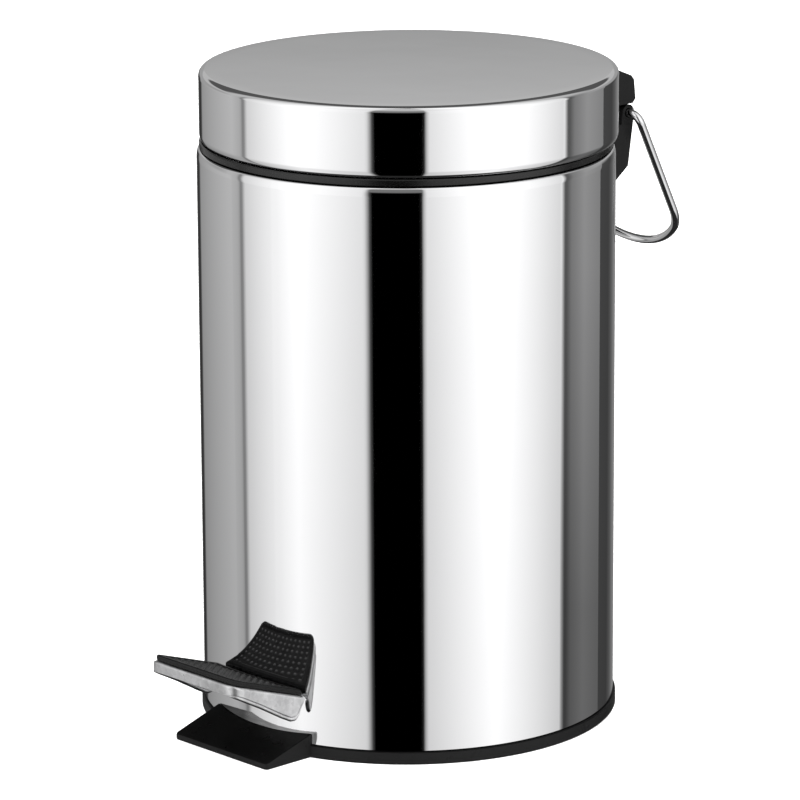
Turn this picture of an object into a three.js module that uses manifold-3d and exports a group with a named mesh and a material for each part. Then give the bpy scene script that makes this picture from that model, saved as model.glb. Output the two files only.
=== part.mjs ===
// A small round pedal bin: polished steel body and lid, black plastic base, rim and
// hinge, a steel pedal with a rubber pad, a lifting linkage inside, an inner bucket
// with a wire bail, and a wire carry handle on the hinge.
// Millimetres, +Z up. The origin is on the bin's axis at floor level; the pedal is
// at the front (-Y) and the hinge and carry handle are at the back (+Y).

import * as THREE from 'three';
import { mergeVertices } from 'three/addons/utils/BufferGeometryUtils.js';
import Module from 'manifold-3d';

const wasm = await Module();
wasm.setup();

// ---------------------------------------------------------------- dimensions

const ROUND = 48;                 // facets round the large turned pieces
const SMALL_ROUND = 16;           // facets round pins, bores and screw heads
const FIT = 0.3;                  // gap between pieces that touch or turn on each other
const FAR = 400;                  // longer than anything that is cut

const BODY_RADIUS = 84;
const SHEET = 0.8;
const SHELL_BOTTOM = 5.5;
const SHOULDER_START = 229.2;     // where the top of the body starts to lean inwards
const SHOULDER_RADIUS = 9.7;      // of the leaning part
const SHOULDER_TURN = 18;         // degrees that it leans before the edge turns in
const SHOULDER_EDGE = 1;          // radius of the turned-in edge
const SHOULDER_END = 85;          // degrees that the edge has turned at its end
const LEVER_SLOT_LOW = 17;        // the slot in the front of the body for the pedal lever
const LEVER_SLOT_HIGH = 25.6;
const LEVER_SLOT_SIDE = 0.9;
const NOTCH_LEFT = -3.6;          // the rear notch that the lid's lifting arm passes through
const BODY_NOTCH_LOW = 217;
const RIM_NOTCH_LOW = 215;

const LID_RADIUS = 84;
const LID_SETBACK = 1.5;          // the lid sits this far towards its hinge
const LID_TOP = 264.4;
const LID_FILLET = 2.7;
const LID_CURL_START = 239.2;     // where the lid's lower edge starts to curl inwards
const LID_CURL_IN = 1.1;
const LID_CURL_HEIGHT = 2.7;
const LID_CURL_END = 75;          // degrees of the quarter ellipse that the curl follows

const BASE_RADIUS = 85;
const BASE_HEIGHT = SHELL_BOTTOM - FIT;
const BASE_PLATE_LOW = 1.2;
const BASE_PLATE_TOP = 3.2;
const BASE_FOOT_INNER = 78.5;
const BASE_SKIRT_INNER = 81;      // the collar that the body is pushed over
const BASE_SKIRT_OUTER = 82.8;
const BASE_SKIRT_TOP = 14;
const BASE_CHAMFER = 0.6;

const WEDGE_TIP_Y = -103.5;
const WEDGE_TIP_HEIGHT = 2.5;
const WEDGE_ROOT_Y = -79;
const WEDGE_ROOT_HEIGHT = 9.9;
const WEDGE_TIP_HALF = 27.5;
const WEDGE_ROOT_HALF = 27.8;
const WEDGE_CORNER = 1.8;

const RIM_RADIUS = 82.9;
const RIM_TOP = 236.1;
const RIM_SEAT = 230.9;           // height of the ledge that the bucket's lip sits on
const RIM_SEAT_THICKNESS = 1.6;
const RIM_SEAT_INNER = 72.6;
const RIM_RECESS_RADIUS = 75.6;
const RIM_RECESS_TOP_RADIUS = 77.2;
const RIM_RECESS_SLOPE = 1.4;     // height of the sloping part round the recess
const RIM_SKIRT_INNER = 79.4;
const RIM_SKIRT_OUTER = 80.9;
const RIM_SKIRT_LOW = 224;
const RIM_FLANGE_LOW = 233.3;

const HINGE_Y = 98.8;
const HINGE_Z = 235.9;
const KNUCKLE_RADIUS = 3.4;
const KNUCKLE_SPLIT = 19.7;       // lid knuckle inside this half width, body knuckles outside
const BRACKET_HALF = 28;
const WIRE = 1.75;                // radius of the hinge pin and of the carry handle's wire
const BORE = WIRE + FIT;
const PIN_HALF = 23.2;
const BRACKET_LEDGE = 231.4;      // top of the body bracket on either side of its knuckles
const BRACKET_INNER_Y = 76;
const LID_LEAF_LOW = 239.6;
const BRACKET_SCREW_X = 16;
const BODY_SCREW_Z = 210;
const LID_SCREW_Z = 249;
const SCREW_SHANK = 1.15;
const SCREW_HEAD = 3;
const SCREW_HEAD_THICKNESS = 1.8;
const SCREW_HOLE = 1.6;           // radius of the screws' holes through the sheet and the guide
const BODY_SCREW_HEAD_Y = 75.8;
const BODY_SCREW_END_Y = 90;
const LID_SCREW_HEAD_Y = 80.2;
const LID_SCREW_END_Y = 93;
const GUIDE_LOW = 204.5;
const GUIDE_HIGH = 215.5;
const GUIDE_HALF = 21;
const GUIDE_THICKNESS = 2.5;

const LID_OPENING = 70;           // degrees that the lid opens
const ROD_Y = 81;
const ROD_X = 7;
const NOTCH_RIGHT = ROD_X + 2.2;
const ROD_RADIUS = 1.5;
const ARM_HALF_THICKNESS = 2;
const ARM_HALF_WIDTH = 5;
const ARM_SLOT_HALF = 2.7;

const PIVOT_Y = -60;              // the pedal lever turns on the axle here
const PIVOT_Z = 12;
const AXLE_RADIUS = 2;
const AXLE_HALF = 18.5;
const LUG_INNER = 12.3;
const LUG_OUTER = 16.3;

const TREAD_FRONT_Y = -118.2;
const TREAD_FRONT_Z = 37.6;       // top of the steel at the front of the pedal
const TREAD_SLOPE = 0.3346;       // fall of the tread for each millimetre towards the bin
const TREAD_HALF = 26;
const TREAD_CORNER = 5.5;
const PLAN_REAR_Y = -60;          // inside the body, where the pedal's plan is cut off
const PAN_SHEET = 1;
const PAN_GAP = 1.2;              // between the pedal and the body
const PAD_INSET = 1.25;
const PAD_THICKNESS = 2.3;
const PAD_PEG_X = 16;
const PAD_PEG_Y = -101;
const PAD_PEG_RADIUS = 2.2;
const PAD_PEG_LENGTH = 2.2;
const HOLE_DEPTH = 8;             // of the cutters for the tread's holes, either side of it

const LEVER_HALF = 11;
const LEVER_THICKNESS = 2;
const LEVER_FRONT_Y = -112;
const LEVER_REAR_Y = 69;
const LEVER_END_Y = 74;           // where the push rod hooks into the lever
const LEVER_END_Z = 9.5;
const LEVER_RIVETS_Y = [-105, -94];
const RIVET_RADIUS = 1.7;
const RIVET_HEAD = 3.2;

const BUCKET_TOP = 233.1;
const BUCKET_BOTTOM = 46;
const BUCKET_LIP_RADIUS = 75.2;
const BUCKET_WALL_TOP = 72;
const BUCKET_WALL_BOTTOM = 58;
const BUCKET_WALL = 1.6;
const BAIL_RADIUS = 73.9;
const BAIL_WIRE = 1.25;
const BAIL_Z = 234.8;
const EAR_INNER = 70.4;
const EAR_OUTER = 72.3;

const HANDLE_TILT = 29;           // degrees that the flat handle stands out from hanging down
const HANDLE_START_X = 24.2;
const HANDLE_SHOULDER_X = 33.3;   // the handle's wire turns down here, beside the bracket
const HANDLE_CORNER_X = 30.4;
const HANDLE_CORNER_REACH = 55.3; // from the hinge to the corners of the grip
const HANDLE_REACH = 71.6;        // from the hinge to the middle of the bowed grip
const HANDLE_SHOULDER_BEND = 5.2;
const HANDLE_CORNER_BEND = 5.5;

const SIDES = [-1, 1];

// ----------------------------------------------------------------- materials

function finish(colour, roughness, metalness) {
  return { color: colour, roughness, metalness };
}

const POLISHED_STEEL = finish(0xd9dadb, 0.08, 1);
const ZINC_STEEL = finish(0xa9abac, 0.42, 1);
const CHROME_WIRE = finish(0xcfd1d2, 0.14, 1);
const BLACK_PLASTIC = finish(0x151617, 0.5, 0);
const BUCKET_PLASTIC = finish(0x1b1c1e, 0.55, 0);
const BLACK_RUBBER = finish(0x101112, 0.75, 0);

// ------------------------------------------------------------ shape building

// A closed geometry as a solid that can be joined and cut.
function solid(geometry) {
  const bare = geometry.index ? geometry.toNonIndexed() : geometry.clone();
  bare.deleteAttribute('normal');
  bare.deleteAttribute('uv');
  const merged = mergeVertices(bare, 1e-4);
  return new wasm.Manifold(new wasm.Mesh({
    numProp: 3,
    vertProperties: new Float32Array(merged.attributes.position.array),
    triVerts: new Uint32Array(merged.index.array),
  }));
}

// A solid as a named mesh with its own material.
function part(name, shape, look) {
  const mesh = shape.getMesh();
  const geometry = new THREE.BufferGeometry();
  geometry.setAttribute('position', new THREE.BufferAttribute(new Float32Array(mesh.vertProperties), 3));
  geometry.setIndex(new THREE.BufferAttribute(new Uint32Array(mesh.triVerts), 1));
  geometry.computeVertexNormals();
  const result = new THREE.Mesh(geometry, new THREE.MeshStandardMaterial(look));
  result.name = name;
  return result;
}

function outline(points) {
  return new THREE.Shape(points.map(([x, y]) => new THREE.Vector2(x, y)));
}

// Turns a profile of [radius, height] points about the vertical axis. The profile
// runs anticlockwise, and it starts and ends on the axis or closes on itself.
function turned(profile, segments = ROUND) {
  const onAxis = profile[0][0] === 0 && profile[profile.length - 1][0] === 0;
  const closed = onAxis ? profile : [...profile, profile[0]];
  const points = closed.map(([radius, height]) => new THREE.Vector2(radius, height));
  return solid(new THREE.LatheGeometry(points, segments).rotateX(Math.PI / 2));
}

// Extrudes a [y, z] outline across the object, from x0 to x1.
function acrossX(points, x0, x1) {
  const geometry = new THREE.ExtrudeGeometry(outline(points), { depth: x1 - x0, bevelEnabled: false });
  const basis = new THREE.Matrix4().makeBasis(
    new THREE.Vector3(0, 1, 0), new THREE.Vector3(0, 0, 1), new THREE.Vector3(1, 0, 0));
  return solid(geometry.applyMatrix4(basis).translate(x0, 0, 0));
}

// Extrudes an [x, y] outline upwards, from z0 to z1.
function upwards(points, z0, z1) {
  const shape = Array.isArray(points) ? outline(points) : points;
  const options = { depth: z1 - z0, bevelEnabled: false, curveSegments: 6 };
  return solid(new THREE.ExtrudeGeometry(shape, options).translate(0, 0, z0));
}

function box(x0, x1, y0, y1, z0, z1) {
  const geometry = new THREE.BoxGeometry(x1 - x0, y1 - y0, z1 - z0);
  return solid(geometry.translate((x0 + x1) / 2, (y0 + y1) / 2, (z0 + z1) / 2));
}

function cylinderZ(radius, z0, z1, x = 0, y = 0, segments = ROUND) {
  const geometry = new THREE.CylinderGeometry(radius, radius, z1 - z0, segments);
  return solid(geometry.rotateX(Math.PI / 2).translate(x, y, (z0 + z1) / 2));
}

function cylinderX(radius, x0, x1, y, z) {
  const geometry = new THREE.CylinderGeometry(radius, radius, x1 - x0, SMALL_ROUND);
  return solid(geometry.rotateZ(Math.PI / 2).translate((x0 + x1) / 2, y, z));
}

function cylinderY(radius, y0, y1, x, z) {
  const geometry = new THREE.CylinderGeometry(radius, radius, y1 - y0, SMALL_ROUND);
  return solid(geometry.translate(x, (y0 + y1) / 2, z));
}

function degrees(angle) {
  return THREE.MathUtils.degToRad(angle);
}

// Points of an elliptical arc in a [radius, height] profile, between two angles.
function arc(centreRadius, centreHeight, halfWidth, halfHeight, first, last, steps) {
  return Array.from({ length: steps + 1 }, (_, i) => {
    const angle = degrees(first + (last - first) * i / steps);
    return [centreRadius + halfWidth * Math.cos(angle), centreHeight + halfHeight * Math.sin(angle)];
  });
}

// The two X values between two distances from the middle, on one side of the bin.
function span(sign, inner, outer) {
  return sign > 0 ? [inner, outer] : [-outer, -inner];
}

// Cuts the holes for a bracket's two screws, from one Y to another.
function withScrewHoles(shape, radius, y0, y1, z) {
  return SIDES.reduce(
    (rest, sign) => rest.subtract(cylinderY(radius, y0, y1, sign * BRACKET_SCREW_X, z)), shape);
}

// A round wire along straight runs between points, with a smooth bend at each
// inner point that takes the given length off both runs.
function bentWire(points, bends, radius, sides, steps) {
  const path = new THREE.CurvePath();
  let from = points[0];
  for (let i = 1; i < points.length - 1; i += 1) {
    const into = points[i].clone().sub(points[i - 1]).normalize();
    const out = points[i + 1].clone().sub(points[i]).normalize();
    const bendStart = points[i].clone().addScaledVector(into, -bends[i - 1]);
    const bendEnd = points[i].clone().addScaledVector(out, bends[i - 1]);
    path.add(new THREE.LineCurve3(from, bendStart));
    path.add(new THREE.QuadraticBezierCurve3(bendStart, points[i].clone(), bendEnd));
    from = bendEnd;
  }
  path.add(new THREE.LineCurve3(from, points[points.length - 1]));
  return wireAlong(path, radius, sides, steps);
}

function wireAlong(path, radius, sides, steps) {
  const section = new THREE.Shape(Array.from({ length: sides }, (_, i) => {
    const angle = 2 * Math.PI * (i + 0.5) / sides;
    return new THREE.Vector2(radius * Math.cos(angle), radius * Math.sin(angle));
  }));
  const options = { steps, bevelEnabled: false, extrudePath: path };
  return solid(new THREE.ExtrudeGeometry(section, options));
}

function vector([x, y, z]) {
  return new THREE.Vector3(x, y, z);
}

function mirrored(point) {
  return new THREE.Vector3(-point.x, point.y, point.z);
}

// -------------------------------------------------------------- body and base

// The foot under the pedal: a ramp with rounded front corners.
function baseWedge() {
  const wide = WEDGE_ROOT_HALF + 1;
  const tall = 2 * WEDGE_ROOT_HEIGHT;
  const side = acrossX([
    [WEDGE_TIP_Y, 0], [WEDGE_ROOT_Y, 0], [WEDGE_ROOT_Y, WEDGE_ROOT_HEIGHT],
    [WEDGE_TIP_Y, WEDGE_TIP_HEIGHT],
  ], -wide, wide);
  const tip = WEDGE_TIP_Y + WEDGE_CORNER;
  const plan = new THREE.Shape();
  plan.moveTo(WEDGE_ROOT_HALF, WEDGE_ROOT_Y);
  plan.lineTo(-WEDGE_ROOT_HALF, WEDGE_ROOT_Y);
  plan.lineTo(-WEDGE_TIP_HALF, tip);
  plan.quadraticCurveTo(-WEDGE_TIP_HALF, WEDGE_TIP_Y, WEDGE_CORNER - WEDGE_TIP_HALF, WEDGE_TIP_Y);
  plan.lineTo(WEDGE_TIP_HALF - WEDGE_CORNER, WEDGE_TIP_Y);
  plan.quadraticCurveTo(WEDGE_TIP_HALF, WEDGE_TIP_Y, WEDGE_TIP_HALF, tip);
  return side.intersect(upwards(plan, -1, tall))
    .subtract(cylinderZ(BODY_RADIUS + FIT, BASE_HEIGHT, tall));
}

// An upright lug on the base plate, bored for the pedal's axle.
function axleLug(sign) {
  const footHalf = 7;
  const shoulder = { half: 4.5, height: 2.6 };
  const crown = { half: 2.4, height: 4.6 };
  const [x0, x1] = span(sign, LUG_INNER, LUG_OUTER);
  return acrossX([
    [PIVOT_Y - footHalf, BASE_PLATE_TOP - 1], [PIVOT_Y + footHalf, BASE_PLATE_TOP - 1],
    [PIVOT_Y + shoulder.half, PIVOT_Z + shoulder.height],
    [PIVOT_Y + crown.half, PIVOT_Z + crown.height],
    [PIVOT_Y - crown.half, PIVOT_Z + crown.height],
    [PIVOT_Y - shoulder.half, PIVOT_Z + shoulder.height],
  ], x0, x1).subtract(cylinderX(AXLE_RADIUS + FIT, x0 - 1, x1 + 1, PIVOT_Y, PIVOT_Z));
}

function baseTray() {
  const ring = turned([
    [0, BASE_PLATE_LOW], [BASE_FOOT_INNER, BASE_PLATE_LOW], [BASE_FOOT_INNER, 0],
    [BASE_RADIUS - BASE_CHAMFER, 0], [BASE_RADIUS, BASE_CHAMFER], [BASE_RADIUS, BASE_HEIGHT],
    [BASE_SKIRT_OUTER, BASE_HEIGHT], [BASE_SKIRT_OUTER, BASE_SKIRT_TOP],
    [BASE_SKIRT_INNER, BASE_SKIRT_TOP], [BASE_SKIRT_INNER, BASE_PLATE_TOP], [0, BASE_PLATE_TOP],
  ]);
  const tray = SIDES.reduce((rest, sign) => rest.add(axleLug(sign)), ring.add(baseWedge()));
  return part('base_tray', tray, BLACK_PLASTIC);
}

// Points up the shoulder, on the outer face (inset 0) or the inner one (inset SHEET).
function shoulder(inset) {
  const lean = degrees(SHOULDER_TURN);
  const leanCentre = BODY_RADIUS - SHOULDER_RADIUS;
  const toEdge = SHOULDER_RADIUS - SHOULDER_EDGE;
  const edgeCentre = [leanCentre + toEdge * Math.cos(lean), SHOULDER_START + toEdge * Math.sin(lean)];
  const leanRadius = SHOULDER_RADIUS - inset;
  const edgeRadius = SHOULDER_EDGE - inset;
  return [
    ...arc(leanCentre, SHOULDER_START, leanRadius, leanRadius, 0, SHOULDER_TURN, 2).slice(0, -1),
    ...arc(...edgeCentre, edgeRadius, edgeRadius, SHOULDER_TURN, SHOULDER_END, 3),
  ];
}

function bodyShell() {
  const shell = turned([
    [BODY_RADIUS, SHELL_BOTTOM], ...shoulder(0), ...shoulder(SHEET).reverse(),
    [BODY_RADIUS - SHEET, SHELL_BOTTOM],
  ]);
  const slotHalf = LEVER_HALF + LEVER_SLOT_SIDE;
  const leverSlot = box(-slotHalf, slotHalf, -BASE_RADIUS, -BASE_FOOT_INNER, LEVER_SLOT_LOW, LEVER_SLOT_HIGH);
  const rearNotch = box(NOTCH_LEFT, NOTCH_RIGHT, BRACKET_INNER_Y, BASE_RADIUS, BODY_NOTCH_LOW, FAR);
  const body = withScrewHoles(
    shell.subtract(leverSlot).subtract(rearNotch), SCREW_HOLE, BRACKET_INNER_Y, FAR, BODY_SCREW_Z);
  return part('body_shell', body, POLISHED_STEEL);
}

function rimRing() {
  const underSeat = RIM_SEAT - RIM_SEAT_THICKNESS;
  const edge = 0.5;
  const flangeSlope = 0.2;
  const ring = turned([
    [RIM_SEAT_INNER, underSeat], [RIM_SKIRT_INNER, underSeat], [RIM_SKIRT_INNER, RIM_SKIRT_LOW],
    [RIM_SKIRT_OUTER, RIM_SKIRT_LOW], [RIM_SKIRT_OUTER, RIM_FLANGE_LOW],
    [RIM_RADIUS, RIM_FLANGE_LOW + flangeSlope], [RIM_RADIUS, RIM_TOP - edge],
    [RIM_RADIUS - edge, RIM_TOP], [RIM_RECESS_TOP_RADIUS, RIM_TOP],
    [RIM_RECESS_RADIUS, RIM_TOP - RIM_RECESS_SLOPE], [RIM_RECESS_RADIUS, RIM_SEAT],
    [RIM_SEAT_INNER, RIM_SEAT],
  ]);
  const notch = box(NOTCH_LEFT, NOTCH_RIGHT, 0, FAR, RIM_NOTCH_LOW, FAR);
  return part('rim_ring', ring.subtract(notch), BLACK_PLASTIC);
}

// --------------------------------------------------------------------- hinge

function bodyBracket() {
  const lowest = 196.7;
  const back = [[98.8, 213.8], [101.4, 230.4]];
  const frontStep = 0.6;
  const block = acrossX([
    [BRACKET_INNER_Y, lowest], ...back, [HINGE_Y + KNUCKLE_RADIUS, HINGE_Z],
    [HINGE_Y - KNUCKLE_RADIUS, HINGE_Z], [HINGE_Y - KNUCKLE_RADIUS - frontStep, BRACKET_LEDGE],
    [BRACKET_INNER_Y, BRACKET_LEDGE],
  ], -BRACKET_HALF, BRACKET_HALF);
  const knuckle = cylinderX(KNUCKLE_RADIUS, -BRACKET_HALF, BRACKET_HALF, HINGE_Y, HINGE_Z);
  const lidKnuckleSpace = box(-KNUCKLE_SPLIT, KNUCKLE_SPLIT, 0, FAR, BRACKET_LEDGE, FAR);
  const armSlotHalf = ARM_HALF_THICKNESS + 0.8;
  const armSlot = box(-armSlotHalf, armSlotHalf, 0, HINGE_Y - 0.2, BODY_NOTCH_LOW, FAR);
  const bracket = block.add(knuckle)
    .subtract(cylinderX(BORE, -FAR, FAR, HINGE_Y, HINGE_Z))
    .subtract(lidKnuckleSpace)
    .subtract(armSlot)
    .subtract(cylinderZ(BODY_RADIUS + FIT, 0, FAR));
  const screwHoleEnd = BODY_SCREW_END_Y + 0.6;
  return part('hinge_body_bracket',
    withScrewHoles(bracket, SCREW_SHANK + FIT, 0, screwHoleEnd, BODY_SCREW_Z), BLACK_PLASTIC);
}

// The forked arm on the lid's knuckle: the push rod's bent end slides in the fork.
function liftingArm() {
  const reach = (HINGE_Y - ROD_Y) / Math.cos(degrees(LID_OPENING / 2)) + 0.5;
  const slotStart = HINGE_Y - ROD_Y - ROD_RADIUS - 0.6;
  const rootHalf = KNUCKLE_RADIUS - 0.4;
  const rootLength = 2;
  const tine = acrossX([
    [-reach, -ARM_HALF_WIDTH], [-slotStart, -ARM_HALF_WIDTH], [-rootLength, -rootHalf],
    [0, -rootHalf], [0, rootHalf], [-rootLength, rootHalf],
    [-slotStart, ARM_HALF_WIDTH], [-reach, ARM_HALF_WIDTH], [-reach, ARM_SLOT_HALF],
    [-slotStart, ARM_SLOT_HALF], [-slotStart, -ARM_SLOT_HALF], [-reach, -ARM_SLOT_HALF],
  ], -ARM_HALF_THICKNESS, ARM_HALF_THICKNESS);
  return tine.rotate([LID_OPENING / 2, 0, 0]).translate([0, HINGE_Y, HINGE_Z]);
}

function lidBracket() {
  const inner = 78;
  const highest = 260.5;
  const back = [[101.4, LID_LEAF_LOW], [103, 241.4], [102, 249.4], [100.5, 251.2]];
  const leaf = acrossX(
    [[inner, LID_LEAF_LOW], ...back, [inner, highest]], -BRACKET_HALF, BRACKET_HALF);
  const knuckleHalf = KNUCKLE_SPLIT - FIT;
  const webHalf = KNUCKLE_RADIUS - 0.4;
  const webTop = LID_LEAF_LOW + 1.4;
  const bracket = leaf.subtract(cylinderZ(LID_RADIUS + FIT, 0, FAR, 0, LID_SETBACK))
    .add(cylinderX(KNUCKLE_RADIUS, -knuckleHalf, knuckleHalf, HINGE_Y, HINGE_Z))
    .add(box(-knuckleHalf, knuckleHalf, HINGE_Y - webHalf, HINGE_Y + webHalf, HINGE_Z, webTop))
    .add(liftingArm())
    .subtract(cylinderX(BORE, -FAR, FAR, HINGE_Y, HINGE_Z));
  const screwHoleEnd = LID_SCREW_END_Y + 0.6;
  return part('hinge_lid_bracket',
    withScrewHoles(bracket, SCREW_SHANK + FIT, 0, screwHoleEnd, LID_SCREW_Z), BLACK_PLASTIC);
}

function hingePin() {
  return part('hinge_pin', cylinderX(WIRE, -PIN_HALF, PIN_HALF, HINGE_Y, HINGE_Z), CHROME_WIRE);
}

// A pan-head screw that points backwards (+Y), with a cross recess in its head.
function screw(name, x, z, headY, endY) {
  const head = cylinderY(SCREW_HEAD, headY, headY + SCREW_HEAD_THICKNESS, x, z);
  const shank = cylinderY(SCREW_SHANK, headY + 1, endY, x, z);
  const long = 1.6;
  const narrow = 0.4;
  const deep = 0.8;
  const recess = box(x - long, x + long, headY - 1, headY + deep, z - narrow, z + narrow)
    .add(box(x - narrow, x + narrow, headY - 1, headY + deep, z - long, z + long));
  return part(name, head.add(shank).subtract(recess), ZINC_STEEL);
}

// The plate inside the body that the bracket's screws hold, with the push rod's guide.
function rodGuide() {
  const outer = BODY_RADIUS - SHEET - FIT;
  const bossHalf = 4.4;
  const bossInner = 77.2;
  const round = cylinderZ(outer, GUIDE_LOW, GUIDE_HIGH);
  const plate = round.subtract(cylinderZ(outer - GUIDE_THICKNESS, 0, FAR))
    .intersect(box(-GUIDE_HALF, GUIDE_HALF, 0, FAR, 0, FAR));
  const boss = box(ROD_X - bossHalf, ROD_X + bossHalf, bossInner, FAR, 0, FAR).intersect(round);
  const guide = plate.add(boss)
    .subtract(cylinderZ(ROD_RADIUS + 0.4, 0, FAR, ROD_X, ROD_Y, SMALL_ROUND));
  return part('rod_guide', withScrewHoles(guide, SCREW_HOLE, 0, FAR, BODY_SCREW_Z), BLACK_PLASTIC);
}

// ----------------------------------------------------------------------- lid

// Points of the lid's wall and top fillet, down to the curled lower edge.
function lidProfile(inset) {
  const centre = LID_RADIUS - LID_FILLET;
  const fillet = LID_FILLET - inset;
  const curlCentre = LID_RADIUS - LID_CURL_IN;
  return [
    [0, LID_TOP - inset],
    ...arc(centre, LID_TOP - LID_FILLET, fillet, fillet, 90, 0, 4),
    ...arc(curlCentre, LID_CURL_START, LID_CURL_IN - inset, LID_CURL_HEIGHT - inset, 0, -LID_CURL_END, 4),
  ];
}

function lidShell() {
  const cap = turned([...lidProfile(SHEET), ...lidProfile(0).reverse()])
    .translate([0, LID_SETBACK, 0]);
  return part('lid_shell', withScrewHoles(cap, SCREW_HOLE, 0, FAR, LID_SCREW_Z), POLISHED_STEEL);
}

// --------------------------------------------------------------------- pedal

// Height of the steel tread's upper face.
function treadTop(y) {
  return TREAD_FRONT_Z - TREAD_SLOPE * (y - TREAD_FRONT_Y);
}

// Plan of the pedal: a tongue with rounded front corners, shrunk by an inset.
function treadPlan(inset) {
  const half = TREAD_HALF - inset;
  const front = TREAD_FRONT_Y + inset;
  const corner = TREAD_CORNER - inset;
  const plan = new THREE.Shape();
  plan.moveTo(half, PLAN_REAR_Y);
  plan.lineTo(-half, PLAN_REAR_Y);
  plan.lineTo(-half, front + corner);
  plan.absarc(corner - half, front + corner, corner, Math.PI, 1.5 * Math.PI);
  plan.lineTo(half - corner, front);
  plan.absarc(half - corner, front + corner, corner, 1.5 * Math.PI, 2 * Math.PI);
  return plan;
}

function pedalPan() {
  const wallEnd = -76;
  const skirt = [
    [TREAD_FRONT_Y, 33], [-117, 32], [-104.6, 25.4], [-93.1, 18.7], [-88.6, 16.4],
    [-86.2, 16.2], [-84.6, 17.6], [-83.2, 20.6], [-81, 24], [wallEnd, treadTop(wallEnd)],
  ];
  const outerSide = acrossX([...skirt, [TREAD_FRONT_Y, TREAD_FRONT_Z]], -TREAD_HALF, TREAD_HALF);
  const innerSide = acrossX([
    [-FAR, 0], [PLAN_REAR_Y, 0], [PLAN_REAR_Y, treadTop(PLAN_REAR_Y) - PAN_SHEET],
    [-FAR, treadTop(-FAR) - PAN_SHEET],
  ], PAN_SHEET - TREAD_HALF, TREAD_HALF - PAN_SHEET);
  const outer = outerSide.intersect(upwards(treadPlan(0), 0, FAR))
    .subtract(cylinderZ(BODY_RADIUS + PAN_GAP, 0, FAR));
  const sheet = outer.subtract(innerSide.intersect(upwards(treadPlan(PAN_SHEET), 0, FAR)));
  const rivetHole = RIVET_RADIUS + FIT;
  const riveted = LEVER_RIVETS_Y.reduce(
    (rest, y) => rest.subtract(treadPeg(rivetHole, 0, y, -HOLE_DEPTH, HOLE_DEPTH)), sheet);
  const pan = SIDES.reduce((rest, sign) => rest.subtract(
    treadPeg(PAD_PEG_RADIUS + FIT, sign * PAD_PEG_X, PAD_PEG_Y, -HOLE_DEPTH, HOLE_DEPTH)), riveted);
  return part('pedal_pan', pan, ZINC_STEEL);
}

// A round peg square to the tread, from one depth to another above its upper face.
function treadPeg(radius, x, y, from, to) {
  const geometry = new THREE.CylinderGeometry(radius, radius, to - from, SMALL_ROUND);
  geometry.rotateX(Math.PI / 2).translate(0, 0, (from + to) / 2);
  geometry.rotateX(-Math.atan(TREAD_SLOPE)).translate(x, y, treadTop(y));
  return solid(geometry);
}

function pedalPad() {
  const low = (y) => treadTop(y) + FIT;
  const high = (y) => low(y) + PAD_THICKNESS;
  const slab = acrossX([[-FAR, low(-FAR)], [0, low(0)], [0, high(0)], [-FAR, high(-FAR)]],
    -TREAD_HALF, TREAD_HALF);
  const sheet = slab.intersect(upwards(treadPlan(PAD_INSET), 0, FAR))
    .subtract(cylinderZ(BODY_RADIUS + PAN_GAP + 0.4, 0, FAR));
  const pad = SIDES.reduce((rest, sign) => rest.add(
    treadPeg(PAD_PEG_RADIUS, sign * PAD_PEG_X, PAD_PEG_Y, -PAD_PEG_LENGTH, 1)), sheet);
  return part('pedal_pad', pad, BLACK_RUBBER);
}

// An ear on the side of the lever, which is bored for the axle with the lever.
function leverEar(sign) {
  const thickness = 1.5;
  const [x0, x1] = span(sign, LEVER_HALF - thickness, LEVER_HALF);
  return acrossX([
    [PIVOT_Y - 7, 17], [PIVOT_Y - 4, PIVOT_Z - 2.6], [PIVOT_Y - 2, PIVOT_Z - 4],
    [PIVOT_Y + 2, PIVOT_Z - 4], [PIVOT_Y + 4, PIVOT_Z - 2.6], [PIVOT_Y + 7, 14.5],
  ], x0, x1);
}

// The slotted tab at the end of the lever that the push rod's lower end hooks into.
function leverTab() {
  const [x0, x1] = [2.5, 4.5];
  const halfHeight = 3.4;
  const slotHalf = ROD_RADIUS + 0.4;
  const slotFront = LEVER_END_Y - slotHalf;
  const slotRear = LEVER_END_Y + 4.2;
  const tabStart = LEVER_REAR_Y - 9;
  const tabEnd = slotRear + 1.6;
  const slot = box(x0 - 1, x1 + 1, slotFront, slotRear, LEVER_END_Z - slotHalf, LEVER_END_Z + slotHalf);
  return box(x0, x1, tabStart, tabEnd, LEVER_END_Z - halfHeight, LEVER_END_Z + halfHeight).subtract(slot);
}

function pedalLever() {
  const drop = PAN_SHEET + FIT + 0.1;
  const kneeY = -62;
  const top = [
    [LEVER_FRONT_Y, treadTop(LEVER_FRONT_Y) - drop], [kneeY, treadTop(kneeY) - drop],
    [-52, 14.6], [LEVER_REAR_Y, LEVER_END_Z + 1],
  ];
  const bottom = top.map(([y, z]) => [y, z - LEVER_THICKNESS]).reverse();
  const strip = acrossX([...top, ...bottom], -LEVER_HALF, LEVER_HALF);
  const bored = SIDES.reduce((rest, sign) => rest.add(leverEar(sign)), strip)
    .add(leverTab())
    .subtract(cylinderX(AXLE_RADIUS + FIT, -FAR, FAR, PIVOT_Y, PIVOT_Z));
  const rivetHole = RIVET_RADIUS + FIT;
  const lever = LEVER_RIVETS_Y.reduce(
    (rest, y) => rest.subtract(treadPeg(rivetHole, 0, y, -HOLE_DEPTH, HOLE_DEPTH)), bored);
  return part('pedal_lever', lever, ZINC_STEEL);
}

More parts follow.
